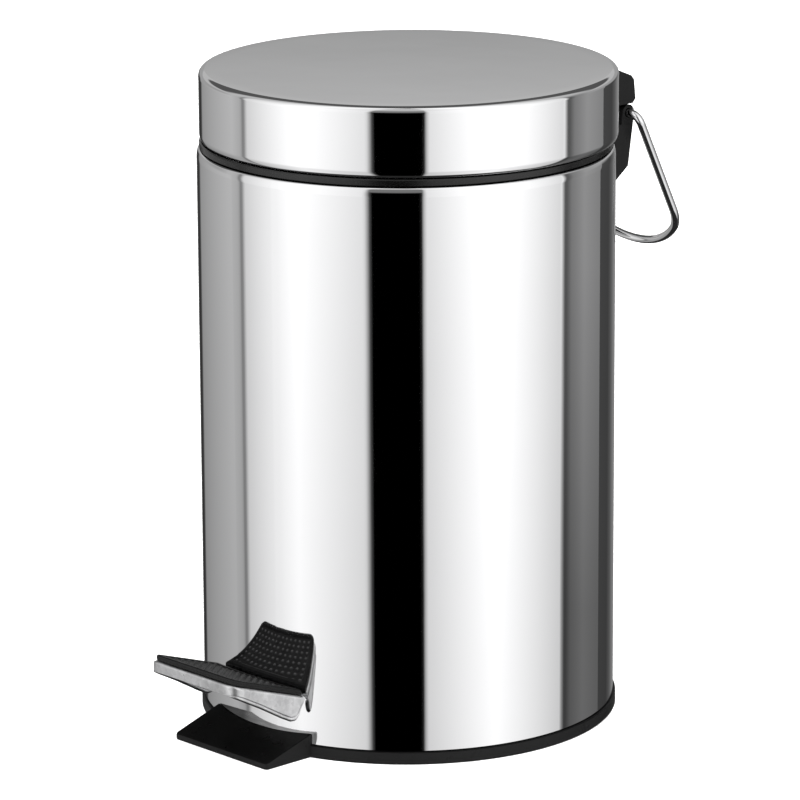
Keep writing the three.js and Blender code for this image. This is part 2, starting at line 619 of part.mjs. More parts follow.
// A rivet that joins the pan to the lever, with its head under the lever.
function leverRivet(name, y) {
  const [shankLow, shankHigh] = [-4.6, -0.1];
  const [headLow, headHigh] = [-5, -3.8];
  const shank = treadPeg(RIVET_RADIUS, 0, y, shankLow, shankHigh);
  return part(name, shank.add(treadPeg(RIVET_HEAD, 0, y, headLow, headHigh)), ZINC_STEEL);
}

// An open spring clip on the end of the axle.
function axleClip(name, sign) {
  const thickness = 0.9;
  const radius = 3.8;
  const openingHalf = 1.5;
  const [x0, x1] = span(sign, LUG_OUTER + FIT, LUG_OUTER + FIT + thickness);
  const ring = cylinderX(radius, x0, x1, PIVOT_Y, PIVOT_Z)
    .subtract(cylinderX(AXLE_RADIUS + FIT, x0 - 1, x1 + 1, PIVOT_Y, PIVOT_Z))
    .subtract(box(x0 - 1, x1 + 1, PIVOT_Y - openingHalf, PIVOT_Y + openingHalf, 0, PIVOT_Z));
  return part(name, ring, ZINC_STEEL);
}

function pedalAxle() {
  return part('pedal_axle', cylinderX(AXLE_RADIUS, -AXLE_HALF, AXLE_HALF, PIVOT_Y, PIVOT_Z), ZINC_STEEL);
}

// The rod from the lever to the lid's arm. Both ends are bent sideways as hooks, and
// it is cranked outwards so that it clears the bucket.
function pushRod() {
  const hookZ = HINGE_Z - (HINGE_Y - ROD_Y) * Math.tan(degrees(LID_OPENING / 2));
  const [upperEndX, lowerEndX] = [-3.2, 0.6];
  const [crankLow, crankHigh] = [32, 44];
  const route = [
    [upperEndX, ROD_Y, hookZ], [ROD_X, ROD_Y, hookZ], [ROD_X, ROD_Y, crankHigh],
    [ROD_X, LEVER_END_Y, crankLow], [ROD_X, LEVER_END_Y, LEVER_END_Z],
    [lowerEndX, LEVER_END_Y, LEVER_END_Z],
  ];
  const bends = [3.5, 5, 5, 2.4];
  return part('push_rod', bentWire(route.map(vector), bends, ROD_RADIUS, 8, 44), ZINC_STEEL);
}

function rodRetainer() {
  const radius = 3.3;
  const [x0, x1] = [1.2, 2];
  const washer = cylinderX(radius, x0, x1, LEVER_END_Y, LEVER_END_Z)
    .subtract(cylinderX(ROD_RADIUS + FIT, x0 - 1, x1 + 1, LEVER_END_Y, LEVER_END_Z));
  return part('rod_retainer', washer, ZINC_STEEL);
}

// ---------------------------------------------------------- bucket and handle

// An ear on the bucket's lip, bored for the bail.
function bailEar(sign) {
  const footHalf = 5;
  const shoulder = { half: 3, height: 2.2 };
  const crown = { half: 1.6, height: 3 };
  const [x0, x1] = span(sign, EAR_INNER, EAR_OUTER);
  return acrossX([
    [-footHalf, BUCKET_TOP - 1], [footHalf, BUCKET_TOP - 1],
    [shoulder.half, BAIL_Z + shoulder.height], [crown.half, BAIL_Z + crown.height],
    [-crown.half, BAIL_Z + crown.height], [-shoulder.half, BAIL_Z + shoulder.height],
  ], x0, x1);
}

function innerBucket() {
  const floorTop = BUCKET_BOTTOM + 1.8;
  const edge = 2;
  const lipUnder = BUCKET_TOP - 1.9;
  const wall = turned([
    [0, BUCKET_BOTTOM], [BUCKET_WALL_BOTTOM - edge, BUCKET_BOTTOM],
    [BUCKET_WALL_BOTTOM, BUCKET_BOTTOM + edge], [BUCKET_WALL_TOP, lipUnder - 1.1],
    [BUCKET_WALL_TOP + 0.2, lipUnder], [BUCKET_LIP_RADIUS, lipUnder],
    [BUCKET_LIP_RADIUS, BUCKET_TOP], [BUCKET_WALL_TOP - BUCKET_WALL, BUCKET_TOP],
    [BUCKET_WALL_BOTTOM - BUCKET_WALL, floorTop + 1.8],
    [BUCKET_WALL_BOTTOM - BUCKET_WALL - 1.8, floorTop], [0, floorTop],
  ]);
  const bucket = SIDES.reduce((rest, sign) => rest.add(bailEar(sign)), wall)
    .subtract(cylinderX(BAIL_WIRE + FIT, -EAR_OUTER - 2, 2 - EAR_INNER, 0, BAIL_Z))
    .subtract(cylinderX(BAIL_WIRE + FIT, EAR_INNER - 2, EAR_OUTER + 2, 0, BAIL_Z));
  return part('inner_bucket', bucket, BUCKET_PLASTIC);
}

// The wire bail, flat on the bucket's lip: a half circle with its ends bent inwards
// through the ears.
function bucketBail() {
  const bend = 1.4;
  const hookX = 68.9;
  const arcSteps = 20;
  const arcStart = Math.asin(bend / BAIL_RADIUS);
  const arcPoints = Array.from({ length: arcSteps + 1 }, (_, i) => {
    const angle = arcStart + (Math.PI - 2 * arcStart) * i / arcSteps;
    return vector([BAIL_RADIUS * Math.cos(angle), -BAIL_RADIUS * Math.sin(angle), BAIL_Z]);
  });
  const hook = [[hookX, 0, BAIL_Z], [BAIL_RADIUS - bend, 0, BAIL_Z], [BAIL_RADIUS, 0, BAIL_Z]].map(vector);
  const [end, bendStart, corner] = hook;
  const path = new THREE.CurvePath();
  path.add(new THREE.LineCurve3(end, bendStart));
  path.add(new THREE.QuadraticBezierCurve3(bendStart, corner, arcPoints[0]));
  path.add(new THREE.CatmullRomCurve3(arcPoints));
  path.add(new THREE.QuadraticBezierCurve3(mirrored(arcPoints[0]), mirrored(corner), mirrored(bendStart)));
  path.add(new THREE.LineCurve3(mirrored(bendStart), mirrored(end)));
  return part('bucket_bail', wireAlong(path, BAIL_WIRE, 8, 52), CHROME_WIRE);
}

// A point of the flat carry handle, from its X and its distance from the hinge.
function onHandle(x, reach) {
  const tilt = degrees(HANDLE_TILT);
  return vector([x, HINGE_Y + reach * Math.sin(tilt), HINGE_Z - reach * Math.cos(tilt)]);
}

// The carry handle: both ends turn in the bracket's bore, the legs run down beside the
// bracket, and the grip between the corners bows away from the hinge.
function carryHandle() {
  const sag = HANDLE_REACH - HANDLE_CORNER_REACH;
  const gripRadius = (HANDLE_CORNER_X ** 2 + sag ** 2) / (2 * sag);
  const gripPoint = (angle) => onHandle(
    gripRadius * Math.sin(angle), HANDLE_REACH - gripRadius * (1 - Math.cos(angle)));
  const gripEnd = Math.asin(HANDLE_CORNER_X / gripRadius) - HANDLE_CORNER_BEND / gripRadius;
  const gripSteps = 16;
  const grip = Array.from({ length: gripSteps + 1 }, (_, i) => gripPoint(gripEnd * (1 - 2 * i / gripSteps)));
  const start = onHandle(HANDLE_START_X, 0);
  const shoulder = onHandle(HANDLE_SHOULDER_X, 0);
  const corner = onHandle(HANDLE_CORNER_X, HANDLE_CORNER_REACH);
  const leg = corner.clone().sub(shoulder).normalize();
  const shoulderIn = onHandle(HANDLE_SHOULDER_X - HANDLE_SHOULDER_BEND, 0);
  const shoulderOut = shoulder.clone().addScaledVector(leg, HANDLE_SHOULDER_BEND);
  const cornerIn = corner.clone().addScaledVector(leg, -HANDLE_CORNER_BEND);
  const half = [
    [start, shoulderIn], [shoulderIn, shoulder, shoulderOut], [shoulderOut, cornerIn],
    [cornerIn, corner, grip[0]],
  ];
  const otherHalf = half.map((points) => points.map(mirrored).reverse()).reverse();
  const curve = (points) => (points.length === 2
    ? new THREE.LineCurve3(...points) : new THREE.QuadraticBezierCurve3(...points));
  const path = new THREE.CurvePath();
  half.forEach((points) => path.add(curve(points)));
  path.add(new THREE.CatmullRomCurve3(grip));
  otherHalf.forEach((points) => path.add(curve(points)));
  return part('carry_handle', wireAlong(path, WIRE, 8, 72), CHROME_WIRE);
}

// ------------------------------------------------------------------ assembly

const bin = new THREE.Group();
bin.add(baseTray(), bodyShell(), rimRing(), bodyBracket(), rodGuide(), hingePin(), pedalAxle());
bin.add(lidShell(), lidBracket());
bin.add(pedalPan(), pedalPad(), pedalLever());
bin.add(leverRivet('lever_rivet_front', LEVER_RIVETS_Y[0]));
bin.add(leverRivet('lever_rivet_rear', LEVER_RIVETS_Y[1]));
bin.add(pushRod(), rodRetainer());
bin.add(innerBucket(), bucketBail(), carryHandle());
for (const sign of SIDES) {
  const side = sign < 0 ? 'left' : 'right';
  const x = sign * BRACKET_SCREW_X;
  bin.add(axleClip(`axle_clip_${side}`, sign));
  bin.add(screw(`body_bracket_screw_${side}`, x, BODY_SCREW_Z, BODY_SCREW_HEAD_Y, BODY_SCREW_END_Y));
  bin.add(screw(`lid_bracket_screw_${side}`, x, LID_SCREW_Z, LID_SCREW_HEAD_Y, LID_SCREW_END_Y));
}

export default bin;
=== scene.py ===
"""The looks of a small round pedal bin: mirror-polished steel body and lid, black
plastic base, rim and hinge, a zinc-plated pedal with a rubber pad, the lifting
linkage inside, an inner bucket with a wire bail and a chromed carry handle.

Shapes are made in millimetres in the CAD model's frame (+Z up, the pedal at -Y, the
hinge at +Y, the floor at Z = 0) and scaled to metres as each piece is finished."""

import math

import bmesh
import bpy
from mathutils import Matrix, Vector


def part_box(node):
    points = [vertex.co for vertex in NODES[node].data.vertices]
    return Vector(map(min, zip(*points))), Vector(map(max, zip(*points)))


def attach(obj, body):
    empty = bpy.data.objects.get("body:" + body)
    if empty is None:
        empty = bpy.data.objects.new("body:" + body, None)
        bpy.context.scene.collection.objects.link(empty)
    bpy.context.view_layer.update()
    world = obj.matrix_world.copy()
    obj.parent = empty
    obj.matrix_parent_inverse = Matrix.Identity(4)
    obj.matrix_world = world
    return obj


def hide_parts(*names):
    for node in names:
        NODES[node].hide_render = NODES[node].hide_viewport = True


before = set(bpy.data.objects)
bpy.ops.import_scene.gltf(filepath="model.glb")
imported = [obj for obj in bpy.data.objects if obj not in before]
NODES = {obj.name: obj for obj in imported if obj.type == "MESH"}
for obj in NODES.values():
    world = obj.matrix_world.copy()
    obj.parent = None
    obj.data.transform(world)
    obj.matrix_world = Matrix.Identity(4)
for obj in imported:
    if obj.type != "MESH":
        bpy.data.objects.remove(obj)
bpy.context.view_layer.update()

MM = 0.001


def node_box(node):
    """The lowest and highest corners of a CAD node, in millimetres."""
    return [Vector(corner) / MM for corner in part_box(node)]


# ------------------------------------------------------------------ dimensions

LARGE_COLUMNS = 288               # columns round the body, lid, rim, base and bucket

BODY_LOW, BODY_HIGH = node_box("body_shell")
BODY_RADIUS = BODY_HIGH.x
SHELL_BOTTOM = BODY_LOW.z
SHEET = 0.8
SHOULDER_START = 229.2            # where the top of the body starts to lean inwards
SHOULDER_RADIUS = 9.7             # of the leaning part
SHOULDER_TURN = 18.0              # degrees that it leans before the edge turns in
SHOULDER_EDGE = 1.0               # radius of the turned-in edge
SHOULDER_END = 85.0
SLOT_HALF = 11.9                  # the lever's slot in the front of the body
SLOT_LOW, SLOT_HIGH = 17.0, 25.6
NOTCH_LEFT, NOTCH_RIGHT = -3.6, 9.2   # the rear notch that the lifting arm passes through
NOTCH_LOW = 217.0

LID_LOW, LID_HIGH = node_box("lid_shell")
LID_RADIUS = LID_HIGH.x
LID_SETBACK = (LID_LOW.y + LID_HIGH.y) / 2
LID_TOP = LID_HIGH.z
LID_FILLET = 2.7
LID_CURL_START = 239.2
LID_CURL_IN = 1.1
LID_CURL_HEIGHT = 2.7
LID_CURL_END = 75.0               # degrees of the quarter ellipse that the curl follows

BASE_RADIUS = node_box("base_tray")[1].x
BASE_HEIGHT = SHELL_BOTTOM - 0.3
BASE_PLATE_LOW, BASE_PLATE_TOP = 1.2, 3.2
BASE_FOOT_INNER = 78.5
BASE_SKIRT_INNER, BASE_SKIRT_OUTER, BASE_SKIRT_TOP = 81.0, 82.8, 14.0

WEDGE_TIP_Y = node_box("base_tray")[0].y
WEDGE_ROOT_Y = -79.0
WEDGE_TIP_HEIGHT, WEDGE_ROOT_HEIGHT = 2.5, 9.9
WEDGE_TIP_HALF, WEDGE_ROOT_HALF = 27.5, 27.8
WEDGE_CORNER = 1.8

PIVOT_Y, PIVOT_Z = -60.0, 12.0
LUG_INNER, LUG_OUTER = 12.3, 16.3
LUG_OUTLINE = [                   # [from the pivot, height above it] round a lug's top
    (4.5, 2.6), (2.4, 4.6), (-2.4, 4.6), (-4.5, 2.6),
]
LUG_FOOT_HALF = 7.0

RIM_HIGH = node_box("rim_ring")[1]
RIM_RADIUS = RIM_HIGH.x
RIM_TOP = RIM_HIGH.z
RIM_SEAT = 230.9                  # the face that the bucket's lip rests on
RIM_SEAT_INNER, RIM_SEAT_THICKNESS = 72.6, 1.6
RIM_SKIRT_INNER, RIM_SKIRT_OUTER = 79.4, 80.9
RIM_SKIRT_LOW, RIM_FLANGE_LOW = 224.0, 233.3
RIM_RECESS, RIM_RECESS_DEPTH = 75.6, 1.4
RIM_TOP_INNER = 77.2

TREAD_FRONT_Y = node_box("pedal_pan")[0].y
TREAD_FRONT_Z = node_box("pedal_pan")[1].z
TREAD_SLOPE = 0.3346
TREAD_HALF = node_box("pedal_pan")[1].x
TREAD_CORNER = 5.5
PAN_SHEET = 1.0
PAN_REAR_RADIUS = 85.2            # the pan's rear edge follows the body at this radius
PAN_ROLL = 1.3                    # radius of its rolled upper edge
PAN_BEAD = 1.05                   # radius of its hem
PAN_LIP = 0.8                     # flat margin inside the rolled edge
SKIRT_HEM = [                     # [y, z] of the lower edge of the pan's side walls
    (-118.2, 33.0), (-117.0, 32.0), (-104.6, 25.4), (-93.1, 18.7), (-88.6, 16.4),
    (-86.2, 16.2), (-84.6, 17.6), (-83.2, 20.6), (-81.0, 24.0), (-76.0, 30.0),
]
PAD_INSET = 1.25
PAD_GAP = 0.3
PAD_THICKNESS = 2.3
PAD_REAR_RADIUS = 85.6
PAD_BORDER = 2.6
PAD_EDGE_RADIUS = 0.8
PAD_CELL = 0.4                    # of its mesh, and the width of the step inside the border
STUD_PITCH = 3.5
STUD_RADIUS = 1.15
STUD_HEIGHT = 0.55

BUCKET_LOW, BUCKET_HIGH = node_box("inner_bucket")
BUCKET_BOTTOM = BUCKET_LOW.z
BUCKET_TOP = 233.1
BUCKET_LIP_RADIUS = BUCKET_HIGH.x
BUCKET_WALL_TOP, BUCKET_WALL_BOTTOM = 72.0, 58.0
BUCKET_WALL = 1.6
BUCKET_FLOOR = 1.8
BUCKET_LIP_DEPTH = 1.9
BUCKET_LIP_EDGE = 0.95            # radius of the lip's rounded edge
EAR_INNER, EAR_OUTER, EAR_RADIUS = 70.4, 72.3, 3.0
BAIL_RADIUS = 73.9
BAIL_WIRE = 1.25
BAIL_Z = 234.8
BAIL_HOOK_X = 68.9                # where the bail's turned-in ends stop
BAIL_BEND = 1.4

HINGE_Y, HINGE_Z = 98.8, 235.9
WIRE = 1.75
HANDLE_START_X = 24.2
HANDLE_TILT = math.radians(29)    # how far the flat handle stands out from hanging down
HANDLE_SHOULDER_X = 33.3
HANDLE_CORNER_X = 30.4
HANDLE_CORNER_REACH = 55.3        # from the hinge to the corners of the grip
HANDLE_REACH = 71.6               # from the hinge to the middle of the bowed grip
HANDLE_SHOULDER_BEND = 5.2
HANDLE_CORNER_BEND = 5.5

ROD_X, ROD_Y, ROD_RADIUS = 7.0, 81.0, 1.5
ROD_TOP_Z = 223.44
ROD_TOP_END_X, ROD_LOW_END_X = -3.2, 0.6
ROD_CRANK_HIGH, ROD_CRANK_LOW = 44.0, 32.0
ROD_BENDS = [3.5, 5, 5, 2.4]
LEVER_END_Y, LEVER_END_Z = 74.0, 9.5

# Camera, as the distance from the bin's axis, the height and the angles.
CAMERA_AZIMUTH = math.radians(46.65)
CAMERA_DISTANCE = 1.9411
CAMERA_HEIGHT = 0.633
CAMERA_PITCH = 0.25493
CAMERA_YAW = -0.00154
CAMERA_ROLL = -0.0052
CAMERA_LENS = 222.49
SENSOR_WIDTH = 36.0


# ------------------------------------------------------------- camera and stage

def make_camera():
    """The camera, which looks at the bin from in front of it and to its right."""
    pitch, yaw, roll = CAMERA_PITCH, CAMERA_YAW, CAMERA_ROLL
    forward = Vector((math.sin(yaw), math.cos(yaw), 0)) * math.cos(pitch)
    forward.z = -math.sin(pitch)
    right = forward.cross(Vector((0, 0, 1))).normalized()
    up = right.cross(forward)
    right, up = (right * math.cos(roll) + up * math.sin(roll),
                 up * math.cos(roll) - right * math.sin(roll))
    turn = Matrix.Rotation(CAMERA_AZIMUTH, 3, "Z")
    axes = Matrix((turn @ right, turn @ up, turn @ -forward)).transposed()
    data = bpy.data.cameras.new("camera")
    data.lens = CAMERA_LENS
    data.sensor_width = SENSOR_WIDTH
    data.clip_start = 0.05
    data.clip_end = 60
    camera = bpy.data.objects.new("camera", data)
    place = turn @ Vector((0, -CAMERA_DISTANCE, CAMERA_HEIGHT))
    camera.matrix_world = Matrix.Translation(place) @ axes.to_4x4()
    bpy.context.scene.collection.objects.link(camera)
    bpy.context.scene.camera = camera


make_camera()


# ------------------------------------------------------------------- node trees

class Tree:
    """A node tree that is filled by short calls."""

    def __init__(self, owner):
        owner.use_nodes = True
        self.tree = owner.node_tree
        self.tree.nodes.clear()

    def add(self, kind, inputs=(), **settings):
        """A node with its settings, and values or links for its inputs."""
        node = self.tree.nodes.new("ShaderNode" + kind)
        for name, value in settings.items():
            setattr(node, name, value)
        for key, value in dict(inputs).items():
            if isinstance(value, bpy.types.NodeSocket):
                self.tree.links.new(value, node.inputs[key])
            else:
                node.inputs[key].default_value = value
        return node

    def math(self, operation, *values):
        return self.add("Math", dict(enumerate(values)), operation=operation).outputs[0]

    def mix(self, factor, first, second):
        """A number between two numbers."""
        node = self.add("Mix", {0: factor, 2: first, 3: second}, data_type="FLOAT")
        return node.outputs[0]

    def step(self, value, low, high):
        """0 below `low`, 1 above `high` and smooth between."""
        inputs = {"Value": value, "From Min": low, "From Max": high}
        return self.add("MapRange", inputs, interpolation_type="SMOOTHSTEP").outputs[0]

    def remap(self, value, low, high, to_low, to_high):
        inputs = {"Value": value, "From Min": low, "From Max": high, "To Min": to_low, "To Max": to_high}
        return self.add("MapRange", inputs).outputs[0]

    def ramp(self, factor, stops):
        """A colour ramp of [place, grey] stops."""
        node = self.add("ValToRGB", {0: factor})
        elements = node.color_ramp.elements
        while len(elements) < len(stops):
            elements.new(0.5)
        for element, (place, level) in zip(elements, stops):
            element.position = place
            element.color = (level, level, level, 1)
        return node.outputs[0]


# -------------------------------------------------------------------- the light

# Studio cards round the bin, as azimuths in degrees (0 is in front of the pedal, 90
# is at +X), each with its brightness at its start, at its peak and at its end.
CARDS = [
    ((-179, 0.05), (-166, 0.045), (-159, 0.09)),
    ((-150, 0.2), (-136, 0.32), (-124, 0.28)),
    ((-121, 0.05), (-116, 0.02), (-111.5, 0.05)),
    ((-109, 0.25), (-66, 0.42), (-58, 0.35)),
    ((-56.5, 0.2), (-55.5, 0.16), (-54.5, 0.25)),
    ((-52.5, 0.58), (-16, 1.02), (23.5, 0.7)),
    ((27, 0.0), (40, 0.0), (54.8, 0.0)),
    ((57, 0.68), (96, 1.12), (139.2, 0.64)),
    ((140.4, 0.76), (143, 0.09), (145, 0.08)),
    ((149, 0.17), (161, 0.25), (178, 0.2)),
]
REFLECTANCE = 0.93                # of the polished steel

# How the world light changes with elevation, in degrees. A change of brightness is
# given as (first elevation, last elevation, first value, last value).
CARD_FADE = (-22.0, -10.0, 0.82, 1.12)
REAR_FOOT = (-17.0, -13.0, 0.58, 1.0)   # the cards behind the right side are darker low down
REAR_FOOT_EDGE = (math.radians(139.5), math.radians(141))
HAZE = (8.0, 13.0, 0.0, 0.16)     # the least brightness above the horizon
TOPS = 0.47                       # the least brightness high up
TOPS_BLEND = 26.0                 # degrees over which the tops come in
TOPS_START = (-0.7, -0.2, 26.0, 10.0)   # where they start, by the share towards the far side
FLOOR_EDGE = (-43.0, -50.0)
FLOOR_SHADE = 0.02

# The lid's top reflects the far side of the room, which is a plain grey wall under a
# dark ceiling. Each begins across a share towards the far side and an elevation.
FAR_AZIMUTH = math.radians(-133)
FAR_WALL = (10.3, 11.4, 0.315, 0.44)
FAR_WALL_SIDE, FAR_WALL_FOOT = (0.3, 0.6), (-4.0, 2.0)
CEILING = 0.08
CEILING_SIDE, CEILING_FOOT = (0.45, 0.65), (17.0, 20.0)

# Area lights, as name, place, size in metres and power in watts.
SOFT_LIGHTS = [
    ("overhead", (0.2, -0.2, 2.2), 2.6, 62),
    ("camera_side", (1.9, -1.5, 1.5), 1.6, 22),
    ("left_side", (-1.6, -1.3, 1.3), 1.6, 20),
    ("rear_side", (-0.4, 2.0, 1.5), 1.6, 16),
]
LIGHTS_AIM = Vector((0, 0, 0.1))

STAGE_RADIUS = 9.0
BACKDROP_LOW, BACKDROP_HIGH = -0.5, 6.0
FLOOR_GREY, FLOOR_GLOW = 0.92, 0.5


def light_world():
    """The world light: cards round the horizon, pale above them, a grey far wall, a
    dark ceiling and a dark floor below."""
    world = bpy.data.worlds.new("studio")
    bpy.context.scene.world = world
    tree = Tree(world)
    direction = tree.add("TexCoord").outputs["Generated"]
    split = tree.add("SeparateXYZ", {0: direction})
    x, y, z = split.outputs
    azimuth = tree.math("ARCTAN2", x, tree.math("MULTIPLY", y, -1.0))
    elevation = tree.math("MULTIPLY", tree.math("ARCSINE", z), math.degrees(1))

    place = tree.remap(azimuth, -math.pi, math.pi, 0.0, 1.0)
    cards = tree.ramp(place, [((angle + 180) / 360, level) for card in CARDS for angle, level in card])
    rear_foot = tree.mix(tree.step(azimuth, *REAR_FOOT_EDGE), 1.0, tree.remap(elevation, *REAR_FOOT))
    cards = tree.math("MULTIPLY", cards, rear_foot)
    faded = tree.math("MULTIPLY", cards, tree.remap(elevation, *CARD_FADE))
    low = tree.math("MAXIMUM", faded, tree.remap(elevation, *HAZE))
    tops = tree.math("MAXIMUM", cards, TOPS)

    along_x = tree.math("MULTIPLY", x, math.sin(FAR_AZIMUTH))
    towards_far = tree.math("MULTIPLY_ADD", y, -math.cos(FAR_AZIMUTH), along_x)
    level_part = tree.math("SQRT", tree.math("SUBTRACT", 1.0, tree.math("MULTIPLY", z, z)))
    bearing = tree.math("DIVIDE", towards_far, level_part)
    start = tree.remap(towards_far, *TOPS_START)
    value = tree.mix(tree.step(elevation, start, tree.math("ADD", start, TOPS_BLEND)), low, tops)
    for share, side, foot, level in (
            (towards_far, FAR_WALL_SIDE, FAR_WALL_FOOT, tree.remap(elevation, *FAR_WALL)),
            (bearing, CEILING_SIDE, CEILING_FOOT, CEILING)):
        inside = tree.math("MULTIPLY", tree.step(share, *side), tree.step(elevation, *foot))
        value = tree.mix(inside, value, level)
    value = tree.mix(tree.step(elevation, *FLOOR_EDGE), value, FLOOR_SHADE)
    background = tree.add("Background", {0: value, "Strength": 1 / REFLECTANCE})
    output = tree.add("OutputWorld")
    tree.tree.links.new(background.outputs[0], output.inputs[0])


def soft_light(name, place, size, power):
    """An area light that doesn't show in reflections."""
    data = bpy.data.lights.new(name, "AREA")
    data.shape = "DISK"
    data.size = size
    data.energy = power
    light = bpy.data.objects.new(name, data)
    light.location = place
    light.rotation_euler = (LIGHTS_AIM - Vector(place)).to_track_quat("-Z", "Y").to_euler()
    light.visible_glossy = False
    bpy.context.scene.collection.objects.link(light)


def stage_piece(name, bm, shader, **settings):
    """A part of the stage, which reflections don't see. `shader` is the kind of shader
    and its inputs."""
    material = bpy.data.materials.new(name)
    tree = Tree(material)
    output = tree.add("OutputMaterial")
    tree.tree.links.new(tree.add(*shader).outputs[0], output.inputs[0])
    mesh = bpy.data.meshes.new(name)
    bm.to_mesh(mesh)
    bm.free()
    mesh.materials.append(material)
    piece = bpy.data.objects.new(name, mesh)
    piece.visible_glossy = False
    for setting, value in settings.items():
        setattr(piece, setting, value)
    bpy.context.scene.collection.objects.link(piece)


def make_stage():
    """A pale floor disc and a white wall far behind."""
    white = (1, 1, 1, 1)
    bm = bmesh.new()
    bmesh.ops.create_circle(bm, cap_ends=True, segments=64, radius=STAGE_RADIUS)
    stage_piece("floor", bm, ("BsdfPrincipled", {
        "Base Color": (FLOOR_GREY, FLOOR_GREY, FLOOR_GREY, 1), "Roughness": 0.9,
        "Specular IOR Level": 0.1, "Emission Color": white, "Emission Strength": FLOOR_GLOW}))
    bm = bmesh.new()
    bmesh.ops.create_cone(bm, cap_ends=False, segments=64, radius1=STAGE_RADIUS,
                          radius2=STAGE_RADIUS, depth=BACKDROP_HIGH - BACKDROP_LOW)
    bmesh.ops.translate(bm, vec=(0, 0, (BACKDROP_LOW + BACKDROP_HIGH) / 2), verts=bm.verts)
    stage_piece("backdrop", bm, ("Emission", {"Color": white, "Strength": 1.0}),
                visible_diffuse=False, visible_shadow=False, visible_transmission=False)


light_world()
make_stage()
for soft in SOFT_LIGHTS:
    soft_light(*soft)
bpy.context.scene.view_settings.view_transform = "Standard"


# -------------------------------------------------------------------- materials

def surface(name, base, rough, metallic=0.0, bump=(), specular=0.5, spots=None, worn_and_glinting=None,
            sides=None):
    """A procedural material. `base` and `rough` are (low, high, noise scale): the colour
    and the roughness drift between low and high. `bump` is a list of (noise scale,
    depth in metres), `spots` adds fine grain of a (scale, amount) to the colour,
    `worn_and_glinting` is the colour that the mesh's "wear" attribute brings in, partly wear and partly
    a painted highlight, and `sides` is painted light: a paler colour on the upright faces for the light
    that falls on them."""
    material = bpy.data.materials.new(name)
    tree = Tree(material)
    place = tree.add("TexCoord").outputs["Object"]

    def drift(low, high, scale, detail=3.0):
        noise = tree.add("TexNoise", {"Vector": place, "Scale": scale, "Detail": detail})
        return tree.remap(noise.outputs[0], 0.3, 0.7, low, high)

    tone = drift(*base)
    if spots:
        scale, amount = spots
        cells = tree.add("TexVoronoi", {"Vector": place, "Scale": scale})
        level = tree.add("SeparateColor", {0: cells.outputs["Color"]}).outputs[0]
        tone = tree.math("MULTIPLY", tone, tree.remap(level, 0.0, 1.0, 1 - amount, 1 + amount))
    # Painted light: upright faces get a paler colour for the light that falls on their sides.
    if sides:
        normal_z = tree.add("SeparateXYZ", {0: tree.add("NewGeometry").outputs["Normal"]}).outputs[2]
        upright = tree.step(tree.math("ABSOLUTE", normal_z), 0.85, 0.3)
        tone = tree.mix(upright, tone, sides)
    # Paler where the mesh's attribute says so: partly wear, partly a painted highlight.
    if worn_and_glinting:
        wear_and_glint = tree.add("Attribute", attribute_name="wear_and_glint").outputs["Fac"]
        tone = tree.mix(wear_and_glint, tone, worn_and_glinting)
    colour = tree.add("CombineColor", {0: tone, 1: tone, 2: tree.math("MULTIPLY", tone, 1.008)})
    shader = tree.add("BsdfPrincipled", {
        "Base Color": colour.outputs[0], "Roughness": drift(*rough), "Metallic": metallic,
        "Specular IOR Level": specular})
    normal = None
    for scale, depth in bump:
        noise = tree.add("TexNoise", {"Vector": place, "Scale": scale, "Detail": 2.0})
        inputs = {"Height": noise.outputs[0], "Distance": depth, "Strength": 1.0}
        if normal:
            inputs["Normal"] = normal
        normal = tree.add("Bump", inputs).outputs[0]
    if normal:
        tree.tree.links.new(normal, shader.inputs["Normal"])
    output = tree.add("OutputMaterial")
    tree.tree.links.new(shader.outputs[0], output.inputs[0])
    return material


POLISHED_STEEL = surface("polished_steel", (REFLECTANCE - 0.015, REFLECTANCE + 0.015, 9.0),
                         (0.02, 0.045, 35.0), metallic=1.0, bump=((22.0, 0.00002), (260.0, 0.0000006)))
ZINC_STEEL = surface("zinc_steel", (0.6, 0.78, 130.0), (0.26, 0.46, 90.0), metallic=1.0,
                     bump=((420.0, 0.00002), (60.0, 0.00008)), spots=(700.0, 0.1))
CHROME_WIRE = surface("chrome_wire", (0.82, 0.88, 60.0), (0.015, 0.05, 120.0), metallic=1.0,
                      bump=((500.0, 0.000002),))
# The upright faces of the black plastic are painted paler, as painted light.
BLACK_PLASTIC = surface("black_plastic", (0.0015, 0.003, 50.0), (0.26, 0.36, 140.0),
                        bump=((3800.0, 0.000006), (45.0, 0.00004)), specular=0.06, sides=0.011)
RIM_PLASTIC = surface("rim_plastic", (0.002, 0.004, 50.0), (0.2, 0.28, 140.0),
                      bump=((45.0, 0.00003),), specular=0.5)
BUCKET_PLASTIC = surface("bucket_plastic", (0.012, 0.018, 30.0), (0.4, 0.55, 70.0),
                         bump=((2600.0, 0.00001), (30.0, 0.00008)))
# The rubber's stud tops are painted paler, partly wear and partly a painted highlight; its upright faces
# are painted paler as painted light.
BLACK_RUBBER = surface("black_rubber", (0.003, 0.006, 160.0), (0.26, 0.38, 240.0),
                       bump=((5200.0, 0.000006),), specular=0.03, worn_and_glinting=0.055, sides=0.015)


# ------------------------------------------------------------------ mesh making

def mark_sharp(mesh, degrees):
    """Shades the mesh smooth, apart from edges sharper than the given angle."""
    bm = bmesh.new()
    bm.from_mesh(mesh)
    limit = math.radians(degrees)
    for edge in bm.edges:
        edge.smooth = len(edge.link_faces) == 2 and edge.calc_face_angle(0) < limit
    for face in bm.faces:
        face.smooth = True
    bm.to_mesh(mesh)
    bm.free()


def bare_object(name, bm, closed=True):
    """An object in metres from a mesh made in millimetres."""
    if closed:
        bmesh.ops.recalc_face_normals(bm, faces=bm.faces)
    bmesh.ops.scale(bm, vec=(MM, MM, MM), verts=bm.verts)
    mesh = bpy.data.meshes.new(name)
    bm.to_mesh(mesh)
    bm.free()
    piece = bpy.data.objects.new(name, mesh)
    bpy.context.scene.collection.objects.link(piece)
    return piece


